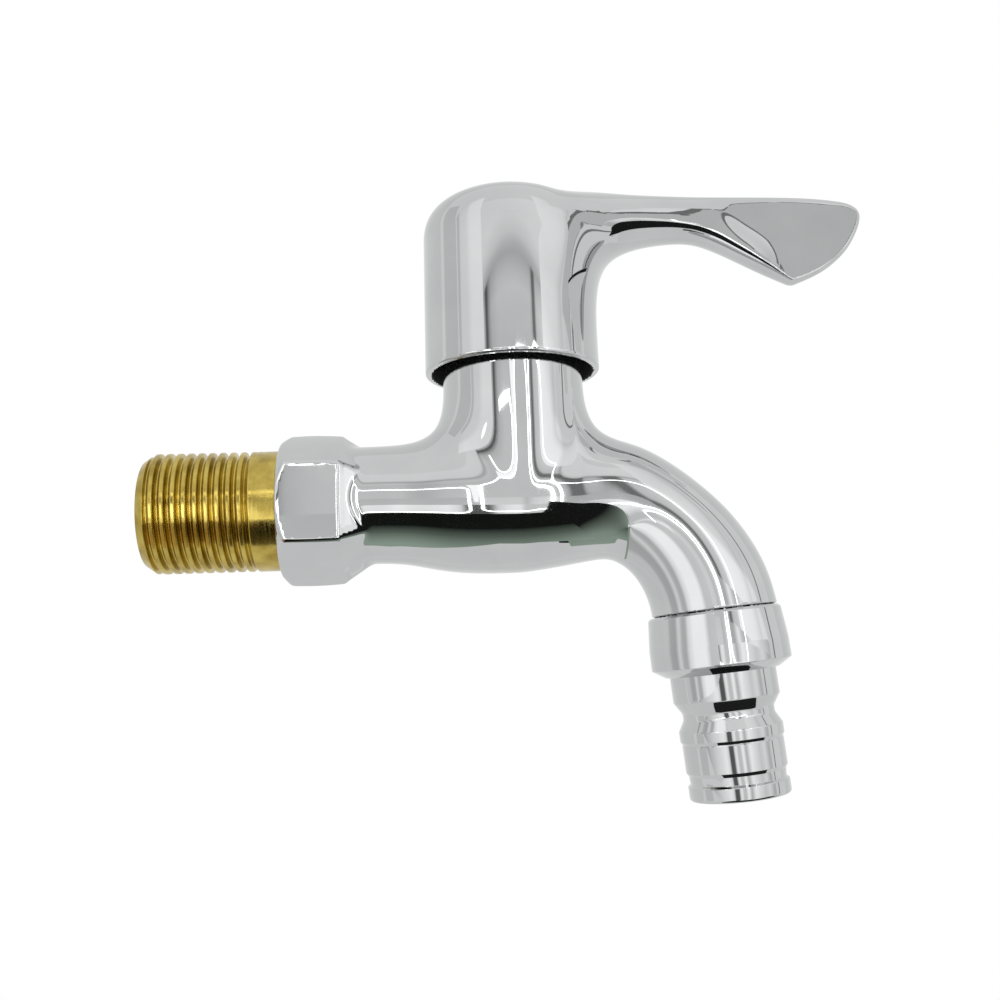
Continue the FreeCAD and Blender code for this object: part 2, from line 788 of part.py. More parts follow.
def hose_nozzle():
    """Stepped hose tail: two rings round a waist, then the tail with its end ring."""
    strainer_floor = nozzle_z + strainer_height
    return on_nozzle(turned((
        (nozzle_bore_r, strainer_floor),
        (strainer_r + drop_in_gap, strainer_floor),
        (strainer_r + drop_in_gap, nozzle_z),
        (flange_r, nozzle_z),
        (flange_r, lip_z),
        (ring1_r, lip_z),
        (ring1_r, ring1_end),
        (waist_r, waist_start, waist_round),
        (waist_r, waist_end, waist_round),
        (ring2_r, ring2_start),
        (ring2_r, ring2_end),
        (tail_r, ring2_end),
        (tail_r, tail_groove_start),
        (tail_groove_r, tail_groove_start + groove_slope),
        (tail_groove_r, tail_groove_end),
        (tail_r, tail_groove_end + groove_slope),
        (tail_r, nozzle_end - end_chamfer),
        (tail_r - end_chamfer, nozzle_end),
        (nozzle_bore_r + end_chamfer, nozzle_end),
        (nozzle_bore_r, nozzle_end - end_chamfer),
    )))


PIECES = {
    "tap_body": tap_body,
    "inlet_nipple": inlet_nipple,
    "headwork_housing": headwork_housing,
    "housing_gasket": housing_gasket,
    "seat_seal": seat_seal,
    "fixed_disc": fixed_disc,
    "rotating_disc": rotating_disc,
    "disc_carrier": disc_carrier,
    "spindle": spindle,
    "thrust_washer": thrust_washer,
    "spindle_clip": spindle_clip,
    "handle": handle,
    "spline_adapter": spline_adapter,
    "handle_screw": handle_screw,
    "screw_cap": screw_cap,
    "collar_nut": collar_nut,
    "nozzle_washer": nozzle_washer,
    "outlet_strainer": outlet_strainer,
    "hose_nozzle": hose_nozzle,
}


def write(name, shape):
    solids = shape.Solids
    if len(solids) != 1 or not shape.isValid():
        print("look at", name, "solids", len(solids), "valid", shape.isValid())
    box = shape.BoundBox
    print("%-18s volume %9.1f  x %7.2f %7.2f  y %6.2f %6.2f  z %7.2f %7.2f" % (
        name, shape.Volume, box.XMin, box.XMax, box.YMin, box.YMax, box.ZMin, box.ZMax))
    solids[0].exportStep("parts/" + name + ".step")


def main():
    os.makedirs("parts", exist_ok=True)
    for name, build in PIECES.items():
        write(name, build())
    for index, rise in enumerate(ring_heights):
        write("spindle_o_ring_%d" % (index + 1), spindle_o_ring(rise))


main()
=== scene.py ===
import math

import bpy
import numpy as np
from mathutils import Matrix, Vector


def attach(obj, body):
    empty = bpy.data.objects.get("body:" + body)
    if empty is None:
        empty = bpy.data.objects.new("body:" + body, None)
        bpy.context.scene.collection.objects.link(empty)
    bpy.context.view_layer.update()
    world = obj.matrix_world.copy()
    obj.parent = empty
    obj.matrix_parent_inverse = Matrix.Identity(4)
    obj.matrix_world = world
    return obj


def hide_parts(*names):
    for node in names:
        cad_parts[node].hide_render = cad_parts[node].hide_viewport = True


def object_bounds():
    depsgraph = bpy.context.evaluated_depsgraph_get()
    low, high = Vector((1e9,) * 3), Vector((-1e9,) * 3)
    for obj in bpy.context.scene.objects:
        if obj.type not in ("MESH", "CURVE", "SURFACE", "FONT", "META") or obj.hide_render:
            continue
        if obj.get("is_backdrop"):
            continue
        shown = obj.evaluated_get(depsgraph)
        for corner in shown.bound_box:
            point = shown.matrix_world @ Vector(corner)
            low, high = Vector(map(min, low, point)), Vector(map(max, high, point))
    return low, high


# Garden tap: smooth castings, cut thread, turned nozzle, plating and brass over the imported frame.
# Sizes are in millimetres here and turned to metres when a mesh is made.
# The frame is the model's: +X from the wall to the spout, +Z up, origin on the inlet axis.

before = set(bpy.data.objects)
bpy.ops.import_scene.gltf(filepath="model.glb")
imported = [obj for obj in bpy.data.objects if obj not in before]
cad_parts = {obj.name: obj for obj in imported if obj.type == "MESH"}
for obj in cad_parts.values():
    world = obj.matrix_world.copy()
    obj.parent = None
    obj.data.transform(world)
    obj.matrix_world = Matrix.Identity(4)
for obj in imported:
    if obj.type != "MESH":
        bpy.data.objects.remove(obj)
cad_low, cad_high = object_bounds()
MM = 0.001

# Camera first: where the photograph was taken from
camera_place = (26.685, -192.7, -27.6)
camera_right = (0.99795, -0.05386, -0.03452)
camera_up = (0.02621, -0.14813, 0.98862)
camera_back = (-0.05836, -0.98750, -0.14641)
camera_data = bpy.data.cameras.new("camera")
camera_data.sensor_width = 36.0
camera_data.lens = 39.6
camera_data.clip_start = 0.005
camera_data.clip_end = 50.0
camera = bpy.data.objects.new("camera", camera_data)
bpy.context.scene.collection.objects.link(camera)
turn = Matrix((camera_right, camera_up, camera_back)).transposed().to_4x4()
camera.matrix_world = Matrix.Translation(Vector(camera_place) * MM) @ turn
bpy.context.scene.camera = camera

# Hexagon of the body casting
hex_flats = 23.7
hex_length = 10.6
hex_corner_r = 13.4
hex_face_r = 11.7
hex_chamfer = 1.6
hex_edge = 0.35
hex_cone = 4.2
hex_runout = 2.7
hex_runout_edge = 0.15
hex_wall_edge = 0.2
hex_blend = 1.0
hex_overlap = 0.6
pillow = 0.24
pillow_half_width = 6.7
pillow_along = 0.8
pillow_limit = 1.2

# Run and spout by their stations: x, z, radius
run_r = 10.3
run_path = (
    (9.6, 0.5, 10.30),
    (17.4, 0.6, 10.35),
    (23.5, 0.5, 10.75),
    (30.0, 0.3, 11.80),
    (37.5, 0.1, 12.10),
    (45.0, 0.1, 11.60),
    (51.0, 0.3, 10.90),
    (56.7, 0.6, 10.70),
    (62.4, -1.3, 10.10),
    (66.9, -4.5, 9.90),
    (70.3, -8.1, 10.10),
    (72.9, -12.2, 10.45),
    (74.5, -16.2, 10.75),
    (75.5, -21.5, 10.95),
)
# Width of the run's section against its height: x, share
run_width = (
    (9.0, 1.0),
    (38.0, 1.0),
    (43.0, 1.0),
    (51.0, 1.016),
    (56.7, 0.988),
    (62.4, 1.0),
    (80.0, 1.0),
)
spout_start = 60.0
mouth = (75.1, -19.9)
mouth_gap = 0.12
mouth_edge = 0.35
nozzle_lean = math.radians(5.0)
spout_thread_r = 10.3
spout_thread_length = 6.0

# Neck
column_x = 41.1
neck_r = 12.5
neck_root_r = 11.9
neck_root_top = 14.0
neck_top = 26.0
neck_edge = 0.35
neck_blend = 12.5
neck_blend_least = 0.6

# Waterway inside the body; the way out by its stations: x, z, radius
insert_r = 9.23
insert_length = 8.03
inlet_way_r = 5.2
inlet_way_z = -2.0
pocket_r = 5.4
pocket_floor = -5.5
seat_z = 5.0
seat_hole_r = 4.6
chamber_r = 10.2
outlet_path = (
    (45.0, 16.2, 4.9),
    (56.0, 4.6, 4.9),
    (62.4, -1.2, 5.5),
    (66.9, -4.4, 5.9),
    (70.3, -8.0, 6.1),
    (72.9, -12.1, 6.3),
    (74.5, -16.2, 6.4),
    (75.1, -19.9, 6.4),
    (75.7, -26.9, 6.4),
)

# Hub of the handle, its hollow and its cap
skirt_z = 23.8
skirt_r = 15.65
skirt_inner_r = 14.4
skirt_edge = 0.45
shoulder_z = 48.0
shoulder_r = 15.4
hub_top = 57.1
crown_power = 2.8
core_roof = 46.0
boss_r = 8.8
boss_z = 38.0
socket_half = 5.8
socket_roof = 47.2
screw_hole_r = 2.2
screw_seat_z = 50.4
screw_recess_r = 4.4
hollow_edge = 0.12
cap_r = 5.8
cap_edge = 0.2
cap_seat_r = 5.9
cap_seat_z = 55.1
# Faces inside the handle's hollow, painted near-black as shade: this near to the hollow, this far below
# the skin
shade_reach = 0.25
shade_depth = 0.35

# Lever by its stations: x, height of the top edge, depth of its rounding, half thickness
lever_top = (
    (41.0, 56.9, 8.0, 11.0),
    (50.0, 57.4, 7.6, 9.8),
    (57.5, 57.5, 7.0, 8.0),
    (63.0, 57.2, 6.1, 6.6),
    (70.0, 57.0, 5.2, 5.0),
    (76.0, 56.95, 4.5, 3.5),
    (83.5, 56.95, 3.3, 2.1),
    (92.0, 56.85, 2.4, 1.5),
    (99.0, 56.5, 1.6, 1.25),
    (103.5, 55.95, 1.3, 1.1),
    (106.0, 55.2, 1.1, 1.0),
    (108.5, 53.3, 1.0, 0.9),
)
# Underside: x, height, how far the crisp edge lies above it, extra half thickness at that edge
lever_under = (
    (41.0, 47.6, 4.6, 0.0),
    (57.0, 47.8, 4.4, 0.0),
    (65.0, 48.15, 4.0, 0.0),
    (70.0, 48.4, 3.5, 0.15),
    (76.0, 48.1, 2.9, 0.65),
    (80.4, 46.4, 2.5, 1.1),
    (84.6, 44.25, 2.0, 1.25),
    (89.0, 42.0, 1.35, 1.05),
    (92.0, 40.55, 0.75, 0.45),
    (94.0, 39.6, 0.4, 0.1),
    (110.0, 31.7, 0.4, 0.0),
)
# Slanted end: height, x
lever_end = (
    (36.0, 85.0),
    (39.6, 93.4),
    (41.5, 98.0),
    (43.75, 101.6),
    (45.95, 104.0),
    (49.5, 106.4),
    (52.2, 107.45),
    (54.0, 107.55),
    (58.0, 106.9),
)
lever_end_round = 0.9
least_top_round = 0.5
least_under_round = 0.3
least_half = 0.6
dish_height = 6.5
dish_bow = 0.9
lever_root = 2.0
lever_blend = 20.0
lever_blend_least = 0.4
lever_blend_start = -2.0
lever_blend_run = 12.0

# Collar and hose tail: radius, depth below the spout's mouth, rounding of the corner
small_round = 0.12
most_of_side = 0.45
collar_outline = (
    (10.35, 0.05),
    (11.2, 0.05, 0.1),
    (11.6, 0.45, 0.25),
    (12.12, 5.8, 1.5),
    (12.15, 9.2, 0.35),
    (9.9, 10.6, 0.3),
    (9.35, 10.6),
    (9.35, 9.4),
    (10.35, 9.4),
)
hose_tail_outline = (
    (6.4, 8.5),
    (8.0, 8.5),
    (8.0, 7.6),
    (10.0, 7.6),
    (10.0, 9.4),
    (9.2, 9.4),
    (9.2, 15.1, 0.5),
    (7.9, 17.1, 0.9),
    (7.9, 18.2, 0.9),
    (8.95, 20.1, 0.45),
    (8.95, 21.8, 0.1),
    (8.6, 22.35, 0.08),
    (8.7, 22.55, 0.04),
    (8.7, 27.1, 0.08),
    (8.32, 27.7, 0.08),
    (8.2, 29.1, 0.12),
    (8.7, 29.5, 0.15),
    (8.7, 31.9, 0.6),
    (6.4, 31.9, 0.5),
)

# Inlet nipple with its helical thread
thread_r = 10.4775
thread_depth = 1.0
thread_pitch = 1.814
crest_share = 0.26
flank_share = 0.66
thread_start = 0.2
thread_rise = 0.8
thread_fade = 1.6
nipple_length = 23.2
plain_shank = 4.6
nipple_gap = 0.03
bore_r = 7.0
bore_chamfer = 0.35
bore_ring = 8.0
lead_length = 1.8
lead_depth = 1.3

# Fineness of the meshes
body_step = 0.42
handle_step = body_step * 0.9
cap_step = body_step * 0.6
block = 5
near_blocks = 1.35
path_group = 8
chunk = 32768
probe_reach = 0.02
slope_reach = 0.05
settle_rounds = 2
settle_limit = 0.6
least_slope = 0.05
lathe_sides = 160
arc_steps = 6
thread_sides = 180
thread_step = 0.08

# How far cuts run past what they cut, and a distance that stands for far away
overlap = 1.0
far_off = 50.0


# Curves and fields
def smooth_line(spots):
    """Natural cubic curve through (place, value) pairs, straight beyond its ends."""
    place = np.array([spot[0] for spot in spots], float)
    value = np.array([spot[1] for spot in spots], float)
    count = len(place)
    gap = np.diff(place)
    slope = np.diff(value) / gap
    system = np.eye(count)
    right = np.zeros(count)
    for i in range(1, count - 1):
        system[i, i - 1] = gap[i - 1]
        system[i, i] = 2.0 * (gap[i - 1] + gap[i])
        system[i, i + 1] = gap[i]
        right[i] = 6.0 * (slope[i] - slope[i - 1])
    bend = np.linalg.solve(system, right)
    first = slope[0] - gap[0] * bend[1] / 6.0
    last = slope[-1] + gap[-1] * bend[-2] / 6.0

    def at(where):
        where = np.asarray(where, float)
        held = np.clip(where, place[0], place[-1])
        i = np.clip(np.searchsorted(place, held) - 1, 0, count - 2)
        a = (place[i + 1] - held) / gap[i]
        b = 1.0 - a
        curve = a * value[i] + b * value[i + 1]
        curve += ((a ** 3 - a) * bend[i] + (b ** 3 - b) * bend[i + 1]) * gap[i] ** 2 / 6.0
        before = np.minimum(where - place[0], 0.0) * first
        beyond = np.maximum(where - place[-1], 0.0) * last
        return curve + before + beyond

    return at


def column_line(rows, column):
    """Curve through one column of a table of stations."""
    return smooth_line([(row[0], row[column]) for row in rows])


def slope_of(line, where):
    """Slope of a curve from two places about each one asked for."""
    return (line(where + slope_reach) - line(where - slope_reach)) / (2.0 * slope_reach)


def unit(v):
    """Rows of a table of vectors made one long."""
    return v / np.maximum(np.linalg.norm(v, axis=1, keepdims=True), 1e-9)


def eased(share):
    """Share from 0 to 1 that starts and ends gently."""
    return share * share * (3.0 - 2.0 * share)


def blend_union(a, b, reach):
    """Union of two fields with a soft hollow between them."""
    near = np.maximum(reach - np.abs(a - b), 0.0) / np.maximum(reach, 1e-6)
    return np.minimum(a, b) - near ** 3 * reach / 6.0


def round_common(a, b, radius):
    """Common part of two fields with a rounded edge."""
    u = np.maximum(a + radius, 0.0)
    v = np.maximum(b + radius, 0.0)
    return np.minimum(np.maximum(a, b), -radius) + np.sqrt(u * u + v * v)


def swept_tube(path, groups):
    """Distance field, with its direction, of a ball of changing radius on a path in the XZ plane."""
    chord = [0.0]
    for (x0, z0, _), (x1, z1, _) in zip(path, path[1:]):
        chord.append(chord[-1] + math.hypot(x1 - x0, z1 - z0))
    lines = [smooth_line([(s, row[k]) for s, row in zip(chord, path)]) for k in range(3)]
    samples = groups * path_group + 1
    cx, cz, cr = (line(np.linspace(0.0, chord[-1], samples)) for line in lines)
    numbers = np.arange(samples)

    def reach_to(q, index):
        across = (q[:, 0:1] - cx[index]) ** 2 + (q[:, 2:3] - cz[index]) ** 2
        return np.sqrt(across + q[:, 1:2] ** 2) - cr[index]

    def field(p):
        value = np.empty(len(p))
        heading = np.empty((len(p), 3))
        for start in range(0, len(p), chunk):
            part = slice(start, start + chunk)
            q = p[part]
            rows = np.arange(len(q))
            coarse = reach_to(q, numbers[::path_group]).argmin(1) * path_group
            near = coarse[:, None] + np.arange(-path_group, path_group + 1)
            near = np.clip(near, 0, samples - 1)
            reach = reach_to(q, near)
            best = np.clip(reach.argmin(1), 1, 2 * path_group - 1)
            low, mid, high = reach[rows, best - 1], reach[rows, best], reach[rows, best + 1]
            bend = np.maximum(high - 2.0 * mid + low, 1e-9)
            shift = np.clip((low - high) / (2.0 * bend), -1.0, 1.0)
            value[part] = mid + (high - low) * shift / 2.0 + bend * shift ** 2 / 2.0
            spot = near[rows, best] + shift
            heading[part, 0] = q[:, 0] - np.interp(spot, numbers, cx)
            heading[part, 1] = q[:, 1]
            heading[part, 2] = q[:, 2] - np.interp(spot, numbers, cz)
        return value, unit(heading)

    return field


# Surface of a field
PROBES = np.array(((1.0, -1.0, -1.0), (-1.0, -1.0, 1.0), (-1.0, 1.0, -1.0), (1.0, 1.0, 1.0)))
CORNERS = [(i, j, k) for i in (0, 1) for j in (0, 1) for k in (0, 1)]
EDGES = [(a, b) for a in CORNERS for b in CORNERS if a < b and math.dist(a, b) == 1.0]


def value_and_slope(field, p):
    """A field and its gradient from four probes about each point."""
    slope = np.zeros_like(p)
    value = np.zeros(len(p))
    for probe in PROBES:
        here = field(p + probe * probe_reach)
        value += here / 4.0
        slope += here[:, None] * probe / (4.0 * probe_reach)
    return value, slope


def sampled(field, low, high, step):
    """Field on a grid, coarse away from its surface and mirrored in Y = 0, and the grid's origin."""
    counts = [int(math.ceil((high[k] - low[k]) / step / block)) + 1 for k in range(3)]
    xs = low[0] + step * np.arange(counts[0] * block)
    ys = low[1] + step * (np.arange(counts[1] * block) + 0.5)
    zs = low[2] + step * np.arange(counts[2] * block)
    middles = [axis.reshape(-1, block).mean(1) for axis in (xs, ys, zs)]
    values = field(np.stack(np.meshgrid(*middles, indexing="ij"), -1).reshape(-1, 3)).reshape(counts)
    for axis in range(3):
        values = np.repeat(values, block, axis)
    near = np.abs(values) < near_blocks * block * step
    spots = np.argwhere(near)
    values[near] = field(np.stack([xs[spots[:, 0]], ys[spots[:, 1]], zs[spots[:, 2]]], 1))
    values = np.concatenate([values[:, ::-1], values], 1)
    return values, np.array([xs[0], -ys[-1], zs[0]])


def crossed_cells(values):
    """One point in each cell that the surface crosses, in cells, and the points' numbers by cell."""
    inside = values < 0.0
    size = np.array(values.shape) - 1
    filled = np.zeros(size, int)
    for i, j, k in CORNERS:
        filled += inside[i:i + size[0], j:j + size[1], k:k + size[2]]
    crossed = (filled > 0) & (filled < len(CORNERS))
    cells = np.argwhere(crossed)
    number = np.full(size, -1)
    number[crossed] = np.arange(len(cells))
    place = np.zeros((len(cells), 3))
    count = np.zeros(len(cells))
    for a, b in EDGES:
        va = values[tuple((cells + a).T)]
        vb = values[tuple((cells + b).T)]
        hit = (va < 0.0) != (vb < 0.0)
        share = np.where(hit, va / np.where(hit, va - vb, 1.0), 0.0)[:, None]
        spot = np.array(a) + share * (np.array(b) - np.array(a))
        place[hit] += spot[hit]
        count[hit] += 1
    return cells + place / count[:, None], number


def crossing_quads(inside, number):
    """One face round each grid edge that crosses the surface, facing outwards."""
    quads = []
    for axis in range(3):
        one, two = (axis + 1) % 3, (axis + 2) % 3
        first = [slice(1, -1)] * 3
        first[axis] = slice(0, -1)
        second = [slice(1, -1)] * 3
        second[axis] = slice(1, None)
        a, b = inside[tuple(first)], inside[tuple(second)]
        for leaving in (False, True):
            spots = np.argwhere((a & ~b) if leaving else (~a & b)) + 1
            spots[:, axis] -= 1
            ring = []
            for du, dv in ((-1, -1), (0, -1), (0, 0), (-1, 0)):
                cell = spots.copy()
                cell[:, one] += du
                cell[:, two] += dv
                ring.append(number[tuple(cell.T)])
            ring = np.stack(ring, 1)
            quads.append(ring if leaving else ring[:, ::-1])
    return np.concatenate(quads)


def field_mesh(field, low, high, step):
    """Points, faces and normals of a field's surface; the field is symmetric about Y = 0."""
    values, origin = sampled(field, low, high, step)
    cells, number = crossed_cells(values)
    points = origin + cells * step
    quads = crossing_quads(values < 0.0, number)
    for _ in range(settle_rounds):
        value, slope = value_and_slope(field, points)
        share = value / np.maximum((slope ** 2).sum(1), least_slope)
        points = points - slope * np.clip(share, -settle_limit * step, settle_limit * step)[:, None]
    return points, quads, unit(value_and_slope(field, points)[1])


def mesh_object(name, points, faces, normals=None):
    """Smooth object in metres from points in millimetres."""
    mesh = bpy.data.meshes.new(name)
    mesh.from_pydata((np.asarray(points) * MM).tolist(), [], np.asarray(faces).tolist())
    mesh.shade_smooth()
    if normals is not None:
        mesh.normals_split_custom_set_from_vertices(normals.tolist())
    mesh.validate()
    piece = bpy.data.objects.new(name, mesh)
    bpy.context.scene.collection.objects.link(piece)
    return piece


# Body
run_field = swept_tube(run_path, 32)
outlet_field = swept_tube(outlet_path, 16)
width_line = column_line(run_width, 1)


def along_nozzle(p):
    """Depth below the spout's mouth and distance from the nozzle's axis."""
    dx = p[:, 0] - mouth[0]
    dz = p[:, 2] - mouth[1]
    depth = dx * math.sin(nozzle_lean) - dz * math.cos(nozzle_lean)
    aside = dx * math.cos(nozzle_lean) + dz * math.sin(nozzle_lean)
    return depth, np.hypot(aside, p[:, 1])


def hexagon_field(p):
    """Spanner hexagon with pillowed flats, its chamfer at the wall and its six-sided run-out."""
    x = p[:, 0]
    runout = math.atan2(hex_flats / 2.0 - run_r, hex_runout)
    middle = hex_length / 2.0
    swell_along = pillow_along * np.clip((x - middle) / middle, -pillow_limit, pillow_limit) ** 2
    flats = None
    for i in range(3):
        angle = math.radians(60.0 * i)
        across = np.abs(p[:, 1] * math.cos(angle) + p[:, 2] * math.sin(angle))
        along = p[:, 1] * math.sin(angle) - p[:, 2] * math.cos(angle)
        swell = np.minimum((along / pillow_half_width) ** 2, pillow_limit) + swell_along
        across = across + pillow * swell
        straight = across - hex_flats / 2.0
        sloped = straight * math.cos(runout) + (x - hex_length) * math.sin(runout)
        flat = round_common(straight, sloped, hex_runout_edge)
        flats = flat if flats is None else round_common(flats, flat, hex_edge)
    r = np.hypot(p[:, 1], p[:, 2])
    lead = math.atan2(hex_corner_r - hex_face_r, hex_chamfer)
    chamfer = (r - hex_face_r) * math.cos(lead) - x * math.sin(lead)
    fall = math.atan2(hex_corner_r - run_r, hex_cone)
    cone = (r - hex_corner_r) * math.cos(fall) + (x - hex_length) * math.sin(fall)
    solid = round_common(flats, round_common(chamfer, cone, hex_edge), hex_edge)
    return round_common(solid, -x, hex_wall_edge)


def neck_field(p):
    """Upright column that widens a little from its root."""
    share = np.clip(p[:, 2] / neck_root_top, 0.0, 1.0)
    radius = neck_root_r + (neck_r - neck_root_r) * eased(share)
    column = np.hypot(p[:, 0] - column_x, p[:, 1])
    return np.hypot(column, np.minimum(p[:, 2], 0.0)) - radius


def waterway_field(p):
    """Nipple's seat, way in, pocket, seat of the headwork, its chamber and the way out."""
    x, y, z = p.T
    column = np.hypot(x - column_x, y)
    pocket_ends = np.maximum(pocket_floor - z, z - inlet_way_z - inlet_way_r)
    seat_ends = np.maximum(pocket_floor + overlap - z, z - seat_z - overlap)
    return np.minimum.reduce([
        np.maximum(np.hypot(y, z) - insert_r, x - insert_length),
        np.maximum(np.hypot(y, z - inlet_way_z) - inlet_way_r, x - column_x),
        np.maximum(column - pocket_r, pocket_ends),
        np.maximum(column - seat_hole_r, seat_ends),
        np.maximum(column - chamber_r, seat_z - z),
        outlet_field(p)[0],
    ])


def body_field(p):
    """Run, spout, neck and hexagon in one skin, less the waterway."""
    x, y, z = p.T
    run, heading = run_field(np.stack([x, y * (1.0 / width_line(x)), z], 1))
    outward = np.stack([x - column_x, y, np.minimum(z, 0.0)], 1)
    facing = (unit(outward) * heading).sum(1)
    reach = neck_blend * np.clip(1.0 - facing, 0.0, 1.0) + neck_blend_least
    casting = blend_union(run, neck_field(p), reach)
    casting = round_common(casting, z - neck_top, neck_edge)
    depth, radius = along_nozzle(p)
    at_spout = x > spout_start
    casting = round_common(casting, np.where(at_spout, depth + mouth_gap, -far_off), mouth_edge)
    casting = np.maximum(casting, hex_length - hex_overlap - x)
    casting = blend_union(casting, hexagon_field(p), hex_blend)
    thread_ends = np.maximum(depth - spout_thread_length, -overlap - depth)
    thread = np.maximum(radius - spout_thread_r, thread_ends)
    casting = np.minimum(casting, np.where(at_spout, thread, far_off))
    return np.maximum(casting, -waterway_field(p))


# Handle
top_line = column_line(lever_top, 1)
top_round = column_line(lever_top, 2)
half_line = column_line(lever_top, 3)
under_line = column_line(lever_under, 1)
under_round = column_line(lever_under, 2)
edge_line = column_line(lever_under, 3)
end_line = column_line(lever_end, 1)


def hub_field(p):
    """Skirt and crown of the hub, with the direction of the nearest wall."""
    x, y, z = p.T
    r = np.hypot(x - column_x, y)
    height = (z - skirt_z) / (shoulder_z - skirt_z)
    wall = r - (skirt_r + (shoulder_r - skirt_r) * np.clip(height, 0.0, 1.0))
    rise = np.maximum(z - shoulder_z, 0.0) / (hub_top - shoulder_z)
    share = np.maximum(r / shoulder_r, 1e-4)
    level = (share ** crown_power + rise ** crown_power) ** (1.0 / crown_power)
    fall = level ** (1.0 - crown_power)
    outward = fall * share ** (crown_power - 1.0) / shoulder_r
    upward = fall * rise ** (crown_power - 1.0) / (hub_top - shoulder_z)
    crown = (level - 1.0) / np.maximum(np.hypot(outward, upward), 1e-4)
    held_r = np.maximum(r, 1e-6)
    heading = np.stack([(x - column_x) / held_r * outward, y / held_r * outward, upward], 1)
    return np.where(z > shoulder_z, crown, wall), unit(heading)


def lever_field(p):
    """Fin that grows from the hub: rounded top, crisp lower edge over a dished side."""
    x, y, z = p.T
    top_fall = slope_of(top_line, x)
    under_fall = slope_of(under_line, x)
    end_fall = slope_of(end_line, z)
    top_scale = np.sqrt(1.0 + top_fall ** 2)
    under_scale = np.sqrt(1.0 + under_fall ** 2)
    end_scale = np.sqrt(1.0 + end_fall ** 2)
    round_top = np.maximum(top_round(x), least_top_round)
    round_under = np.maximum(under_round(x), least_under_round)
    below = (under_line(x) - z) / under_scale
    u_top = np.maximum((z - top_line(x)) / top_scale / round_top + 1.0, 0.0)
    u_under = np.maximum(below / round_under + 1.0, 0.0)
    u_end = np.maximum((x - end_line(z)) / end_scale / lever_end_round + 1.0, 0.0)
    rise = np.clip(-(below + round_under) / dish_height, 0.0, 1.0)
    dish = (1.0 - rise) ** 2 * (1.0 + dish_bow * rise)
    half = np.maximum(half_line(x), least_half) + np.maximum(edge_line(x), 0.0) * dish
    v = np.abs(y) / half
    level = np.sqrt(u_top ** 2 + u_under ** 2 + u_end ** 2 + v ** 2)
    rise_top = u_top / round_top / top_scale
    rise_under = u_under / round_under / under_scale
    rise_end = u_end / lever_end_round / end_scale
    slope = np.stack([rise_end - rise_top * top_fall + rise_under * under_fall,
                      v / half * np.sign(y),
                      rise_top - rise_under - rise_end * end_fall], 1)
    return (level - 1.0) * level / np.maximum(np.linalg.norm(slope, axis=1), 1e-3), unit(slope)


def handle_outside(p):
    """Hub and lever with a wide hollow between them."""
    hub, hub_heading = hub_field(p)
    lever, lever_heading = lever_field(p)
    lever = np.maximum(lever, column_x + lever_root - p[:, 0])
    facing = (hub_heading * lever_heading).sum(1)
    side = np.clip((p[:, 0] - column_x - lever_blend_start) / lever_blend_run, 0.0, 1.0)
    reach = lever_blend * np.clip(1.0 - facing, 0.0, 1.0) * eased(side)
    return blend_union(hub, lever, reach + lever_blend_least)


def handle_hollow(p):
    """Core under the crown, square socket, screw hole and cap seat."""
    x, y, z = p.T
    r = np.hypot(x - column_x, y)
    boss = np.maximum(r - boss_r, boss_z - z)
    across = np.maximum(np.abs(x - column_x), np.abs(y))
    return np.minimum.reduce([
        np.maximum(np.maximum(r - skirt_inner_r, z - core_roof), -boss),
        np.maximum(across - socket_half, z - socket_roof),
        r - screw_hole_r,
        np.maximum(r - screw_recess_r, screw_seat_z - z),
        np.maximum(r - cap_seat_r, cap_seat_z - z),
    ])


def handle_field(p):
    """Handle casting: its outside less its hollow."""
    outside = round_common(handle_outside(p), skirt_z - p[:, 2], skirt_edge)
    return round_common(outside, -handle_hollow(p), hollow_edge)


def cap_field(p):
    """Cap that continues the crown."""
    r = np.hypot(p[:, 0] - column_x, p[:, 1])
    plug = round_common(r - cap_r, handle_outside(p), cap_edge)
    return np.maximum(plug, cap_seat_z - p[:, 2])


points, quads, normals = field_mesh(body_field, (-1.0, 0.0, -30.0), (90.0, 14.0, 27.5), body_step)
body = mesh_object("body_casting", points, quads, normals)
points, quads, normals = field_mesh(handle_field, (24.5, 0.0, 22.8), (109.5, 17.0, 60.0), handle_step)
handle = mesh_object("handle_casting", points, quads, normals)
# Faces deep inside the hollow get the near-black painted shade
middle = points[quads].mean(1)
painted_shade_faces = handle_hollow(middle) < shade_reach
painted_shade_faces &= middle[:, 2] < cap_seat_z
painted_shade_faces &= -handle_outside(middle) > shade_depth
points, quads, normals = field_mesh(cap_field, (33.5, 0.0, 56.0), (48.5, 7.0, 59.5), cap_step)
cap = mesh_object("cap_disc", points, quads, normals)


# Turned pieces
def lathe(name, outlines, place, inwards=False):
    """Closed ring through equally spaced outlines of (radius, depth) corners, placed by a function."""
    around = len(outlines)
    count = len(outlines[0])
    spots = []
    for i, outline in enumerate(outlines):
        angle = 2.0 * math.pi * i / around
        for radius, depth in outline:
            spots.append(place(radius * math.cos(angle), radius * math.sin(angle), depth))
    faces = []
    for i in range(around):
        here, there = i * count, (i + 1) % around * count
        for k in range(count):
            after = (k + 1) % count
            if inwards:
                faces.append((here + k, there + k, there + after, here + after))
            else:
                faces.append((here + k, here + after, there + after, there + k))
    return mesh_object(name, spots, faces)


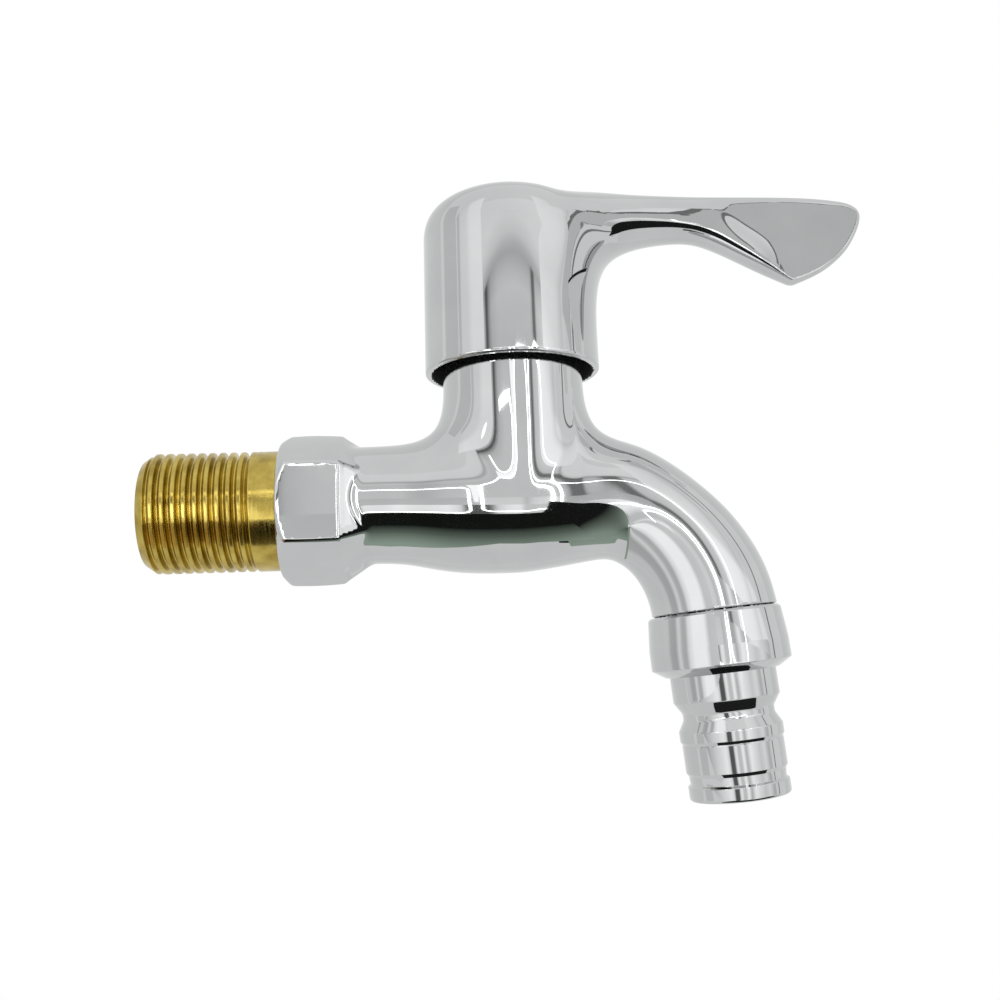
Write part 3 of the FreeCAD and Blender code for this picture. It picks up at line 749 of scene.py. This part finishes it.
def rounded(corners):
    """Outline with its corners rounded: (radius, depth[, rounding]) in, plain points out."""
    out = []
    count = len(corners)
    for i in range(count):
        here = Vector(corners[i][:2])
        rounding = corners[i][2] if len(corners[i]) > 2 else small_round
        back = Vector(corners[i - 1][:2]) - here
        ahead = Vector(corners[(i + 1) % count][:2]) - here
        reach = rounding / math.tan(back.angle(ahead) / 2.0)
        reach = min(reach, back.length * most_of_side, ahead.length * most_of_side)
        start = here + back.normalized() * reach
        end = here + ahead.normalized() * reach
        for step in range(arc_steps + 1):
            t = step / arc_steps
            out.append(tuple((1 - t) ** 2 * start + 2 * t * (1 - t) * here + t ** 2 * end))
    return out


def on_nozzle(a, b, depth):
    """Place below the spout's mouth, across and along the leaning nozzle."""
    s, c = math.sin(nozzle_lean), math.cos(nozzle_lean)
    return (mouth[0] + depth * s + a * c, b, mouth[1] - depth * c + a * s)


def on_nipple(a, b, depth):
    """Place across the inlet axis, at a distance from the nipple's free end."""
    return (depth - nipple_length, a, b)


def nipple_outline(share):
    """Nipple's outline at a share of a turn: thread from its free end, then back along the bore."""
    stations = np.arange(0.0, nipple_length + 0.001, thread_step)
    phase = (stations / thread_pitch - share) % 1.0
    rise = np.clip((1.0 - np.abs(2.0 * phase - 1.0) - crest_share) / flank_share, 0.0, 1.0)
    cut = 0.5 - 0.5 * np.cos(math.pi * rise)
    start = np.clip((stations - thread_start) / thread_rise, 0.0, 1.0)
    fade = np.clip((nipple_length - plain_shank - stations) / thread_fade + 0.5, 0.0, 1.0)
    radius = thread_r - thread_depth * cut * start * fade
    radius = np.minimum(radius, thread_r - lead_depth + stations * (lead_depth / lead_length))
    inner_end = insert_length - nipple_gap + nipple_length
    return list(zip(radius, stations)) + [
        (insert_r - nipple_gap, inner_end),
        (bore_r, inner_end),
        (bore_r, bore_ring),
        (bore_r, bore_chamfer),
        (bore_r + bore_chamfer, 0.0),
    ]


collar = lathe("collar", [rounded(collar_outline)] * lathe_sides, on_nozzle)
nozzle = lathe("hose_tail_turned", [rounded(hose_tail_outline)] * lathe_sides, on_nozzle)
nipple = lathe("nipple_thread", [nipple_outline(i / thread_sides) for i in range(thread_sides)],
               on_nipple, inwards=True)


# Materials
def new_material(name):
    """Material with its nodes, its links and its main shader."""
    material = bpy.data.materials.new(name)
    material.use_nodes = True
    nodes = material.node_tree.nodes
    return material, nodes, material.node_tree.links, nodes["Principled BSDF"]


def noise(nodes, links, scale, detail=3.0, stretch=None):
    """Noise in object coordinates, optionally stretched along an axis."""
    where = nodes.new("ShaderNodeTexCoord")
    texture = nodes.new("ShaderNodeTexNoise")
    texture.inputs["Scale"].default_value = scale
    texture.inputs["Detail"].default_value = detail
    if stretch is None:
        links.new(where.outputs["Object"], texture.inputs["Vector"])
    else:
        mapping = nodes.new("ShaderNodeMapping")
        mapping.inputs["Scale"].default_value = stretch
        links.new(where.outputs["Object"], mapping.inputs["Vector"])
        links.new(mapping.outputs["Vector"], texture.inputs["Vector"])
    return texture.outputs["Fac"]


def ranged(nodes, links, value, low, high, start=0.3, end=0.7):
    """Value carried into a range."""
    node = nodes.new("ShaderNodeMapRange")
    node.inputs["From Min"].default_value = start
    node.inputs["From Max"].default_value = end
    node.inputs["To Min"].default_value = low
    node.inputs["To Max"].default_value = high
    links.new(value, node.inputs["Value"])
    return node.outputs["Result"]


def colours(nodes, links, value, stops):
    """Colour for a value from (place, colour) stops."""
    ramp = nodes.new("ShaderNodeValToRGB")
    while len(ramp.color_ramp.elements) < len(stops):
        ramp.color_ramp.elements.new(0.5)
    for element, (place, colour) in zip(ramp.color_ramp.elements, stops):
        element.position = place
        element.color = (*colour, 1.0)
    links.new(value, ramp.inputs["Fac"])
    return ramp.outputs["Color"]


def bumped(nodes, links, value, depth, strength, below=None):
    """Normal that follows a height, over another normal if there is one."""
    bump = nodes.new("ShaderNodeBump")
    bump.inputs["Strength"].default_value = strength
    bump.inputs["Distance"].default_value = depth
    links.new(value, bump.inputs["Height"])
    if below is not None:
        links.new(below, bump.inputs["Normal"])
    return bump.outputs["Normal"]


def chrome(name, waviness, turned=False):
    """Bright plating: thin haze, faint waviness of the casting, hair scratches."""
    material, nodes, links, shader = new_material(name)
    shader.inputs["Metallic"].default_value = 1.0
    haze = noise(nodes, links, 120.0, 4.0)
    links.new(colours(nodes, links, haze, (
        (0.35, (0.520, 0.530, 0.534)),
        (0.7, (0.556, 0.564, 0.567)),
    )), shader.inputs["Base Color"])
    scratches = noise(nodes, links, 900.0, 2.0, (1.0, 1.0, 0.12))
    links.new(ranged(nodes, links, scratches, 0.028, 0.065, 0.35, 0.8), shader.inputs["Roughness"])
    normal = bumped(nodes, links, noise(nodes, links, 95.0, 1.5), 0.00005 * waviness, 0.35)
    if turned:
        marks = noise(nodes, links, 1400.0, 1.0, (0.05, 0.05, 1.0))
        normal = bumped(nodes, links, marks, 0.000004, 0.3, normal)
    links.new(normal, shader.inputs["Normal"])
    return material


def brass(name, deep, light, rough):
    """Bare machined brass with tarnish and cutter marks."""
    material, nodes, links, shader = new_material(name)
    shader.inputs["Metallic"].default_value = 1.0
    tarnish = noise(nodes, links, 260.0, 6.0)
    links.new(colours(nodes, links, tarnish, ((0.3, deep), (0.62, light))), shader.inputs["Base Color"])
    streaks = noise(nodes, links, 2600.0, 3.0, (1.0, 0.08, 0.08))
    links.new(ranged(nodes, links, streaks, rough * 0.7, rough * 1.35), shader.inputs["Roughness"])
    links.new(bumped(nodes, links, streaks, 0.00002, 0.5), shader.inputs["Normal"])
    return material


def plain(name, dark, light, rough, metallic=0.0, scale=500.0, depth=0.00003):
    """Moulded, cast or cut surface with fine grain."""
    material, nodes, links, shader = new_material(name)
    shader.inputs["Metallic"].default_value = metallic
    grain = noise(nodes, links, scale, 5.0)
    links.new(colours(nodes, links, grain, ((0.3, dark), (0.7, light))), shader.inputs["Base Color"])
    links.new(ranged(nodes, links, grain, rough * 0.85, rough * 1.15), shader.inputs["Roughness"])
    links.new(bumped(nodes, links, grain, depth, 0.4), shader.inputs["Normal"])
    return material


body_chrome = chrome("body_plating", 1.0)
handle_chrome = chrome("handle_plating", 1.0)
turned_chrome = chrome("turned_plating", 0.3, turned=True)
thread_brass = brass("thread_brass", (0.32, 0.23, 0.045), (0.54, 0.42, 0.105), 0.2)
inner_brass = brass("machined_brass", (0.62, 0.43, 0.14), (0.80, 0.60, 0.24), 0.3)
# Near-black painted shade for the faces inside the handle's hollow, not a metal colour
inside_shade = plain("painted_inside_shade", (0.012, 0.012, 0.012), (0.028, 0.028, 0.028), 0.8)
rubber = plain("rubber", (0.012, 0.012, 0.012), (0.025, 0.025, 0.025), 0.75)
fibre = plain("fibre", (0.22, 0.04, 0.03), (0.36, 0.08, 0.05), 0.85, scale=900.0)
ceramic = plain("ceramic", (0.80, 0.79, 0.75), (0.88, 0.87, 0.84), 0.18, scale=300.0, depth=0.000005)
acetal = plain("acetal", (0.78, 0.78, 0.74), (0.86, 0.86, 0.82), 0.42)
nylon = plain("nylon", (0.80, 0.80, 0.77), (0.88, 0.88, 0.85), 0.48)
steel = plain("steel", (0.42, 0.42, 0.42), (0.60, 0.60, 0.60), 0.32, metallic=1.0, scale=800.0)

body.data.materials.append(body_chrome)
handle.data.materials.append(handle_chrome)
# The hollow's inner faces take the near-black painted shade
handle.data.materials.append(inside_shade)
handle.data.polygons.foreach_set("material_index", painted_shade_faces.astype(np.int32))
cap.data.materials.append(handle_chrome)
collar.data.materials.append(turned_chrome)
nozzle.data.materials.append(turned_chrome)
nipple.data.materials.append(thread_brass)

node_materials = {
    "headwork_housing": inner_brass,
    "housing_gasket": fibre,
    "seat_seal": rubber,
    "fixed_disc": ceramic,
    "rotating_disc": ceramic,
    "disc_carrier": acetal,
    "spindle": inner_brass,
    "thrust_washer": nylon,
    "spindle_clip": steel,
    "spline_adapter": nylon,
    "handle_screw": steel,
    "nozzle_washer": rubber,
    "outlet_strainer": steel,
    "spindle_o_ring_1": rubber,
    "spindle_o_ring_2": rubber,
    "tap_body": body_chrome,
    "inlet_nipple": thread_brass,
    "handle": handle_chrome,
    "screw_cap": handle_chrome,
    "collar_nut": turned_chrome,
    "hose_nozzle": turned_chrome,
}
for node, material in node_materials.items():
    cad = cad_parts[node]
    if not cad.material_slots:
        cad.data.materials.append(material)
    for place in cad.material_slots:
        place.material = material

for piece, ridden, stands_for, slot in (
    (body, "tap", "tap_body", "body_chrome"),
    (nipple, "tap", "inlet_nipple", "inlet_brass"),
    (collar, "tap", "collar_nut", "nozzle_chrome"),
    (nozzle, "tap", "hose_nozzle", "nozzle_chrome"),
    (handle, "handle", "handle", "handle_chrome"),
    (cap, "handle", "screw_cap", "cap_chrome"),
):
    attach(piece, ridden)
    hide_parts(stands_for)


# Studio: pale floor, white surroundings, and cards that only the plating mirrors
def glow(name, strength):
    """Material that gives off even light."""
    material = bpy.data.materials.new(name)
    material.use_nodes = True
    nodes = material.node_tree.nodes
    nodes.clear()
    out = nodes.new("ShaderNodeOutputMaterial")
    light = nodes.new("ShaderNodeEmission")
    light.inputs["Strength"].default_value = strength
    material.node_tree.links.new(light.outputs["Emission"], out.inputs["Surface"])
    return material


def graded(name, strength, across, upward, axes="XZ"):
    """Glow that changes along two axes: stops are (millimetres, level or colour)."""
    material = glow(name, strength)
    nodes = material.node_tree.nodes
    links = material.node_tree.links
    where = nodes.new("ShaderNodeTexCoord")
    split = nodes.new("ShaderNodeSeparateXYZ")
    links.new(where.outputs["Object"], split.inputs["Vector"])
    product = nodes.new("ShaderNodeMix")
    product.data_type = "RGBA"
    product.blend_type = "MULTIPLY"
    product.inputs["Factor"].default_value = 1.0
    for axis, stops, socket in ((axes[0], across, "A"), (axes[1], upward, "B")):
        low, high = stops[0][0], stops[-1][0]
        share = ranged(nodes, links, split.outputs[axis], 0.0, 1.0, low * MM, high * MM)
        ramp = colours(nodes, links, share, [
            ((spot - low) / (high - low), level if isinstance(level, tuple) else (level, level, level))
            for spot, level in stops])
        colour = [entry for entry in product.inputs if entry.name == socket and entry.type == "RGBA"][0]
        links.new(ramp, colour)
    light = [node for node in nodes if node.type == "EMISSION"][0]
    result = [entry for entry in product.outputs if entry.type == "RGBA"][0]
    links.new(result, light.inputs["Color"])
    return material


def mirrored(name, spots, faces, material):
    """Stage piece that only mirrored rays see."""
    mesh = bpy.data.meshes.new(name)
    mesh.from_pydata([(x * MM, y * MM, z * MM) for x, y, z in spots], [], faces)
    piece = bpy.data.objects.new(name, mesh)
    bpy.context.scene.collection.objects.link(piece)
    mesh.materials.append(material)
    piece.visible_camera = False
    piece.visible_diffuse = False
    piece.visible_shadow = False
    piece.visible_transmission = False
    piece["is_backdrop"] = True


def card(name, corners, material):
    """Flat card with an outline of (x, y, z) corners."""
    mirrored(name, corners, [range(len(corners))], material)


def upright(name, outline, y, material):
    """Card across the view with an outline of (x, z) corners."""
    card(name, [(x, y, z) for x, z in outline], material)


def level_card(name, outline, z, material):
    """Level card with an outline of (x, y) corners."""
    card(name, [(x, y, z) for x, y in outline], material)


def side_card(name, x, outline, material):
    """Card along the view with an outline of (y, z) corners."""
    card(name, [(x, y, z) for y, z in outline], material)


def oblong(u0, u1, v0, v1):
    """Corners of a rectangle."""
    return ((u0, v0), (u1, v0), (u1, v1), (u0, v1))


def graded_wall(name, strength, across, upward):
    """Graded card in the hood's plane, as large as its stops reach."""
    reach = oblong(across[0][0], across[-1][0], upward[0][0], upward[-1][0])
    upright(name, reach, hood_y, graded(name, strength, across, upward))


def light_loop(name, x0, x1, z0, z1, corner, width, left_out=()):
    """Light strip with rounded corners, closed but for the faces left out."""
    y = hood_y + strip_lift
    inner = []
    outer = []
    for cx, cz, first in ((x1 - corner, z1 - corner, 0), (x0 + corner, z1 - corner, 90),
                          (x0 + corner, z0 + corner, 180), (x1 - corner, z0 + corner, 270)):
        for step in range(corner_steps + 1):
            angle = math.radians(first + 90.0 * step / corner_steps)
            outer.append((cx + corner * math.cos(angle), y, cz + corner * math.sin(angle)))
            inside = corner - width
            inner.append((cx + inside * math.cos(angle), y, cz + inside * math.sin(angle)))
    count = len(outer)
    faces = []
    for i in range(count):
        after = (i + 1) % count
        if i not in left_out:
            faces.append((i, after, count + after, count + i))
    mirrored(name, outer + inner, faces, strip_white)


# Walls of the light tent
hood_y = -130.0
wall_left = -420.0
wall_right = 500.0
wall_top = 250.0
panel_left = -58.0
panel_right = 134.0
panel_low = 8.0
panel_top = 88.0
roof_top = 170.0
collar_low = -18.0
nozzle_low = -120.0
strip_lift = 1.0
corner_steps = 8
strip_white = glow("strip_white", 5.0)
graded_wall("hood_panel", 1.2, (
    (panel_left, 0.9), (-52.0, 0.7), (-48.0, 0.2), (-42.0, 0.2), (-36.0, 0.5), (-26.0, 0.84),
    (-6.0, 0.98), (0.0, 1.0), (88.0, 1.0), (94.0, 0.85), (98.0, 0.3), (104.0, 0.3), (110.0, 1.0),
    (panel_right, 1.2),
), (
    (panel_low, 0.76), (56.0, 0.74), (62.0, 0.7), (70.0, 0.73), (78.0, 0.77), (84.0, 0.64),
    (panel_top, 0.54),
))
graded_wall("hood_roof", 1.2, (
    (panel_left, 0.95), (panel_right, 1.0),
), (
    (panel_top, 0.54), (91.0, 0.63), (94.0, 0.8), (100.0, 0.92), (160.0, 0.94), (roof_top, 0.86),
))
graded_wall("hood_left", 1.3, (
    (wall_left, 0.62), (-330.0, 0.62), (-300.0, 0.8), (-180.0, 0.82), (-130.0, 0.95), (panel_left, 0.97),
), (
    (panel_low, 0.92), (50.0, 0.94), (70.0, 0.98), (160.0, 1.0), (wall_top, 0.95),
))
graded_wall("hood_right", 1.4, (
    (panel_right, 1.0), (230.0, 0.92), (300.0, 0.74), (340.0, 0.84), (wall_right, 0.78),
), (
    (panel_low, 1.12), (64.0, 1.12), (88.0, 0.9), (wall_top, 0.84),
))

# Grey panel with dark seams on the lever's side, and what its underside mirrors
lever_card_y = -25.0
panel_slope = ((80.0, 56.0), (88.0, 65.0), (94.0, 74.0), (100.0, 88.0), (106.0, 90.0))
panel_side = ((106.0, 90.0), (110.0, 74.0), (112.0, 70.0), (128.0, 67.6))
lever_grey = glow("lever_grey", 0.76)
lever_seam = glow("lever_seam", 0.25)
upright("lever_panel", ((79.0, 42.0), (128.0, 42.0)) + panel_side[::-1] + panel_slope[-2::-1],
        lever_card_y, lever_grey)
slope_back = ((105.5, 94.0), (98.0, 91.5), (91.0, 76.5), (85.5, 68.0), (76.0, 60.0))
side_back = ((128.0, 70.0), (113.5, 72.4), (111.8, 75.4), (108.0, 91.4))
upright("lever_top_seam", panel_slope + slope_back, lever_card_y, lever_seam)
upright("lever_side_seam", panel_side + side_back, lever_card_y, lever_seam)
upright("lever_end_seam", ((121.5, 42.0), (125.0, 42.0), (127.0, 66.0), (123.5, 66.0)),
        lever_card_y + 0.2, lever_seam)
for name, drop, material in (
    ("lever_below", 0.0, glow("lever_below", 0.015)),
    ("lever_below_light", 0.5, glow("lever_below_light", 0.85)),
):
    high, middle, low = 42.0 - drop, 41.0 - drop, 30.0 - drop
    inner, outer = (78.0, -6.0, middle), (78.0, -16.0, middle)
    card(name + "_near", ((61.0, -6.5, high), inner, outer, (66.0, -16.0, high)), material)
    card(name + "_far", (inner, (97.0, -3.5, low), (97.0, -9.0, low), outer), material)

upright("thread_glow", oblong(-62.0, -33.0, -32.0, 22.0), hood_y + 1.5, glow("thread_glow", 4.5))
gap_outline = ((29.0, -8.0), (33.0, -8.0), (35.0, 40.0), (37.0, 56.0), (22.0, 56.0), (27.0, 40.0))
upright("bright_gap", gap_outline, hood_y + 0.5, glow("bright_gap", 1.7))
graded_wall("collar_card", 1.0, (
    (wall_left, 0.7), (-140.0, 0.95), (-62.0, 0.85), (10.0, 0.85), (26.0, 0.8), (38.0, 1.1), (58.0, 1.1),
    (66.0, 0.85), (82.0, 1.4), (92.0, 0.8), (102.0, 0.72), (119.0, 1.5), (132.0, 1.0), (142.0, 0.9),
    (170.0, 1.35), (205.0, 1.4), (263.0, 1.15), (366.0, 0.95), (wall_right, 0.75),
), (
    (collar_low, 1.0), (panel_low, 0.95),
))
graded_wall("nozzle_card", 1.0, (
    (wall_left, 0.6), (-150.0, 1.0), (-40.0, 1.3), (-3.0, 1.5), (14.0, 1.2), (22.0, 0.16), (42.0, 0.16),
    (48.0, 1.2), (56.0, 1.5), (64.0, 0.95), (76.0, 0.95), (88.0, 1.6), (104.0, 0.75), (126.0, 1.5),
    (150.0, 1.3), (200.0, 1.0), (262.0, 1.2), (375.0, 0.75), (wall_right, 0.8),
), (
    (nozzle_low, 0.9), (collar_low, 1.0),
))

# Light strips; the left one is open on its left
light_loop("ring_light_left", -110.0, 26.0, -50.0, 48.0, 13.0, 3.0, range(8, 26))
upright("ring_light_top", oblong(-24.0, 20.0, 44.6, 48.0), hood_y + strip_lift, strip_white)
upright("hexagon_light", oblong(-30.0, 4.0, 16.0, 21.0), -40.0, glow("hexagon_light", 2.6))
light_loop("ring_light_middle", 35.0, 81.0, -44.0, 61.0, 12.0, 2.8)
light_loop("ring_light_right", 86.0, 150.0, -40.0, 66.0, 13.0, 3.0)

# Dark and green surface below the run, and what the spout's inner side mirrors
mat_z = -22.0
mat_left = -44.0
mat_middle = -12.0
mat_near = -57.0
mat_far = -12.0
spout_x = 59.5
card_gap = 0.3
mat_right = spout_x - card_gap
mat_warm = (0.35, 0.3, 0.2)
mat_green = (0.8, 1.0, 0.82)
left_warm = (1.0, 0.72, 0.4)
level_card("mat", (
    (mat_middle, mat_far), (mat_middle, mat_near), (mat_right, mat_near), (mat_right, -8.0),
    (48.0, -12.0), (38.0, -13.0), (26.0, -9.0), (17.0, -5.0), (2.0, -12.0),
), mat_z, graded("mat", 1.0, (
    (-60.0, mat_warm), (-2.0, mat_warm), (4.0, mat_green), (90.0, mat_green),
), (
    (-70.0, 0.012), (-26.0, 0.012), (-18.0, 0.17), (-8.0, 0.5), (0.0, 0.5),
), "XY"))
level_card("mat_left", (
    (mat_left, mat_far), (mat_left, mat_near), (mat_middle, mat_near), (mat_middle, mat_far),
), mat_z, graded("mat_left", 1.0, (
    (mat_left, left_warm), (mat_middle, left_warm),
), (
    (mat_near, 0.55), (-30.0, 0.5), (mat_far, 0.6),
), "XY"))
spout_low, spout_high = -37.0, -5.0
spout_near, spout_far = -62.0, -3.0
spout_even = ((spout_low, 1.0), (spout_high, 1.0))
spout_outline = (
    (spout_far, spout_low),
    (spout_far, spout_high),
    (spout_near, spout_high),
    (spout_near, spout_low),
)
side_card("spout_side", spout_x, spout_outline, graded("spout_side", 1.0, (
    (spout_near, 1.0), (-34.0, 0.95), (-27.0, 1.5), (-17.0, 1.5), (-14.0, 1.2), (-12.5, 0.7),
    (-11.0, 0.72), (-9.5, 1.1), (-8.0, 0.62), (-6.0, 0.66), (-5.0, 0.9), (spout_far, 0.9),
), spout_even, "YZ"))
side_card("spout_dark", mat_right, spout_outline, graded("spout_dark", 1.0, (
    (spout_near, 0.012), (-21.0, 0.012), (-17.0, (0.14, 0.17, 0.14)), (-12.0, (0.32, 0.4, 0.33)),
    (spout_far, (0.4, 0.5, 0.41)),
), spout_even, "YZ"))
level_card("low_board", oblong(-500.0, 600.0, -400.0, 250.0), -300.0, glow("low_board", 0.91))
dark_outline = ((63.5, -24.0), (104.0, -24.0), (104.0, -9.0), (67.0, -9.0), (63.5, -12.5))
level_card("low_dark", dark_outline, -60.0, glow("low_dark", 0.02))

# Sides and back of the tent
side_low, side_high = -160.0, 300.0
side_card("side_left", -260.0, oblong(-78.0, 40.0, side_low, side_high), glow("side_grey", 0.8))
side_card("side_right", 340.0, oblong(-46.0, -34.0, side_low, side_high), glow("seam_dark", 0.28))
upright("back_card", oblong(-900.0, 980.0, -300.0, 900.0), 260.0, glow("back_grey", 0.88))

# Floor and world: white to the camera and to mirrors, plain light for the rest
floor_z = -420.0
floor_half = 6000.0
floor_outline = oblong(-floor_half, floor_half, -floor_half, floor_half)
floor_mesh = bpy.data.meshes.new("floor")
floor_mesh.from_pydata([(x * MM, y * MM, floor_z * MM) for x, y in floor_outline], [], [(0, 1, 2, 3)])
floor = bpy.data.objects.new("floor", floor_mesh)
bpy.context.scene.collection.objects.link(floor)
floor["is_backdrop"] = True


def background_share(nodes, links):
    """1 for rays that see the background: from the camera, from gloss, through glass."""
    path = nodes.new("ShaderNodeLightPath")
    first = nodes.new("ShaderNodeMath")
    first.operation = "MAXIMUM"
    links.new(path.outputs["Is Camera Ray"], first.inputs[0])
    links.new(path.outputs["Is Glossy Ray"], first.inputs[1])
    second = nodes.new("ShaderNodeMath")
    second.operation = "MAXIMUM"
    links.new(first.outputs["Value"], second.inputs[0])
    links.new(path.outputs["Is Transmission Ray"], second.inputs[1])
    return second.outputs["Value"]


def mix_background(nodes, links, lit, seen, surface):
    """Surface that shows one shader to background rays and another to the rest."""
    mix = nodes.new("ShaderNodeMixShader")
    links.new(background_share(nodes, links), mix.inputs["Fac"])
    links.new(lit, mix.inputs[1])
    links.new(seen, mix.inputs[2])
    links.new(mix.outputs["Shader"], surface)


floor_material, nodes, links, pale = new_material("floor_white")
pale.inputs["Roughness"].default_value = 0.9
grain = noise(nodes, links, 3.0)
links.new(colours(nodes, links, grain, ((0.3, (0.86, 0.86, 0.86)), (0.7, (0.9, 0.9, 0.9)))),
          pale.inputs["Base Color"])
white = nodes.new("ShaderNodeEmission")
white.inputs["Strength"].default_value = 1.0
mix_background(nodes, links, pale.outputs["BSDF"], white.outputs["Emission"],
               nodes["Material Output"].inputs["Surface"])
floor_mesh.materials.append(floor_material)

world = bpy.data.worlds.new("studio")
bpy.context.scene.world = world
world.use_nodes = True
nodes = world.node_tree.nodes
links = world.node_tree.links
plain_light = nodes["Background"]
plain_light.inputs["Color"].default_value = (1.0, 1.0, 1.0, 1.0)
plain_light.inputs["Strength"].default_value = 0.75
backdrop = nodes.new("ShaderNodeBackground")
backdrop.inputs["Color"].default_value = (1.0, 1.0, 1.0, 1.0)
backdrop.inputs["Strength"].default_value = 1.0
mix_background(nodes, links, plain_light.outputs["Background"], backdrop.outputs["Background"],
               nodes["World Output"].inputs["Surface"])


def lamp(name, place, aim, size, power):
    """Soft square lamp; places are in metres."""
    data = bpy.data.lights.new(name, "AREA")
    data.shape = "SQUARE"
    data.size = size
    data.energy = power
    light = bpy.data.objects.new(name, data)
    light.location = Vector(place)
    light.rotation_euler = (Vector(aim) - Vector(place)).to_track_quat("-Z", "Y").to_euler()
    light.visible_glossy = False
    bpy.context.scene.collection.objects.link(light)


lamp("key", (-0.5, -0.7, 0.9), (0.04, 0.0, 0.0), 0.6, 3.5)
lamp("fill", (0.8, -0.6, 0.4), (0.04, 0.0, 0.0), 0.6, 1.6)

bpy.context.scene.view_settings.view_transform = "Standard"

low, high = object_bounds()
{"cad": [list(cad_low), list(cad_high)], "visual": [list(low), list(high)]}
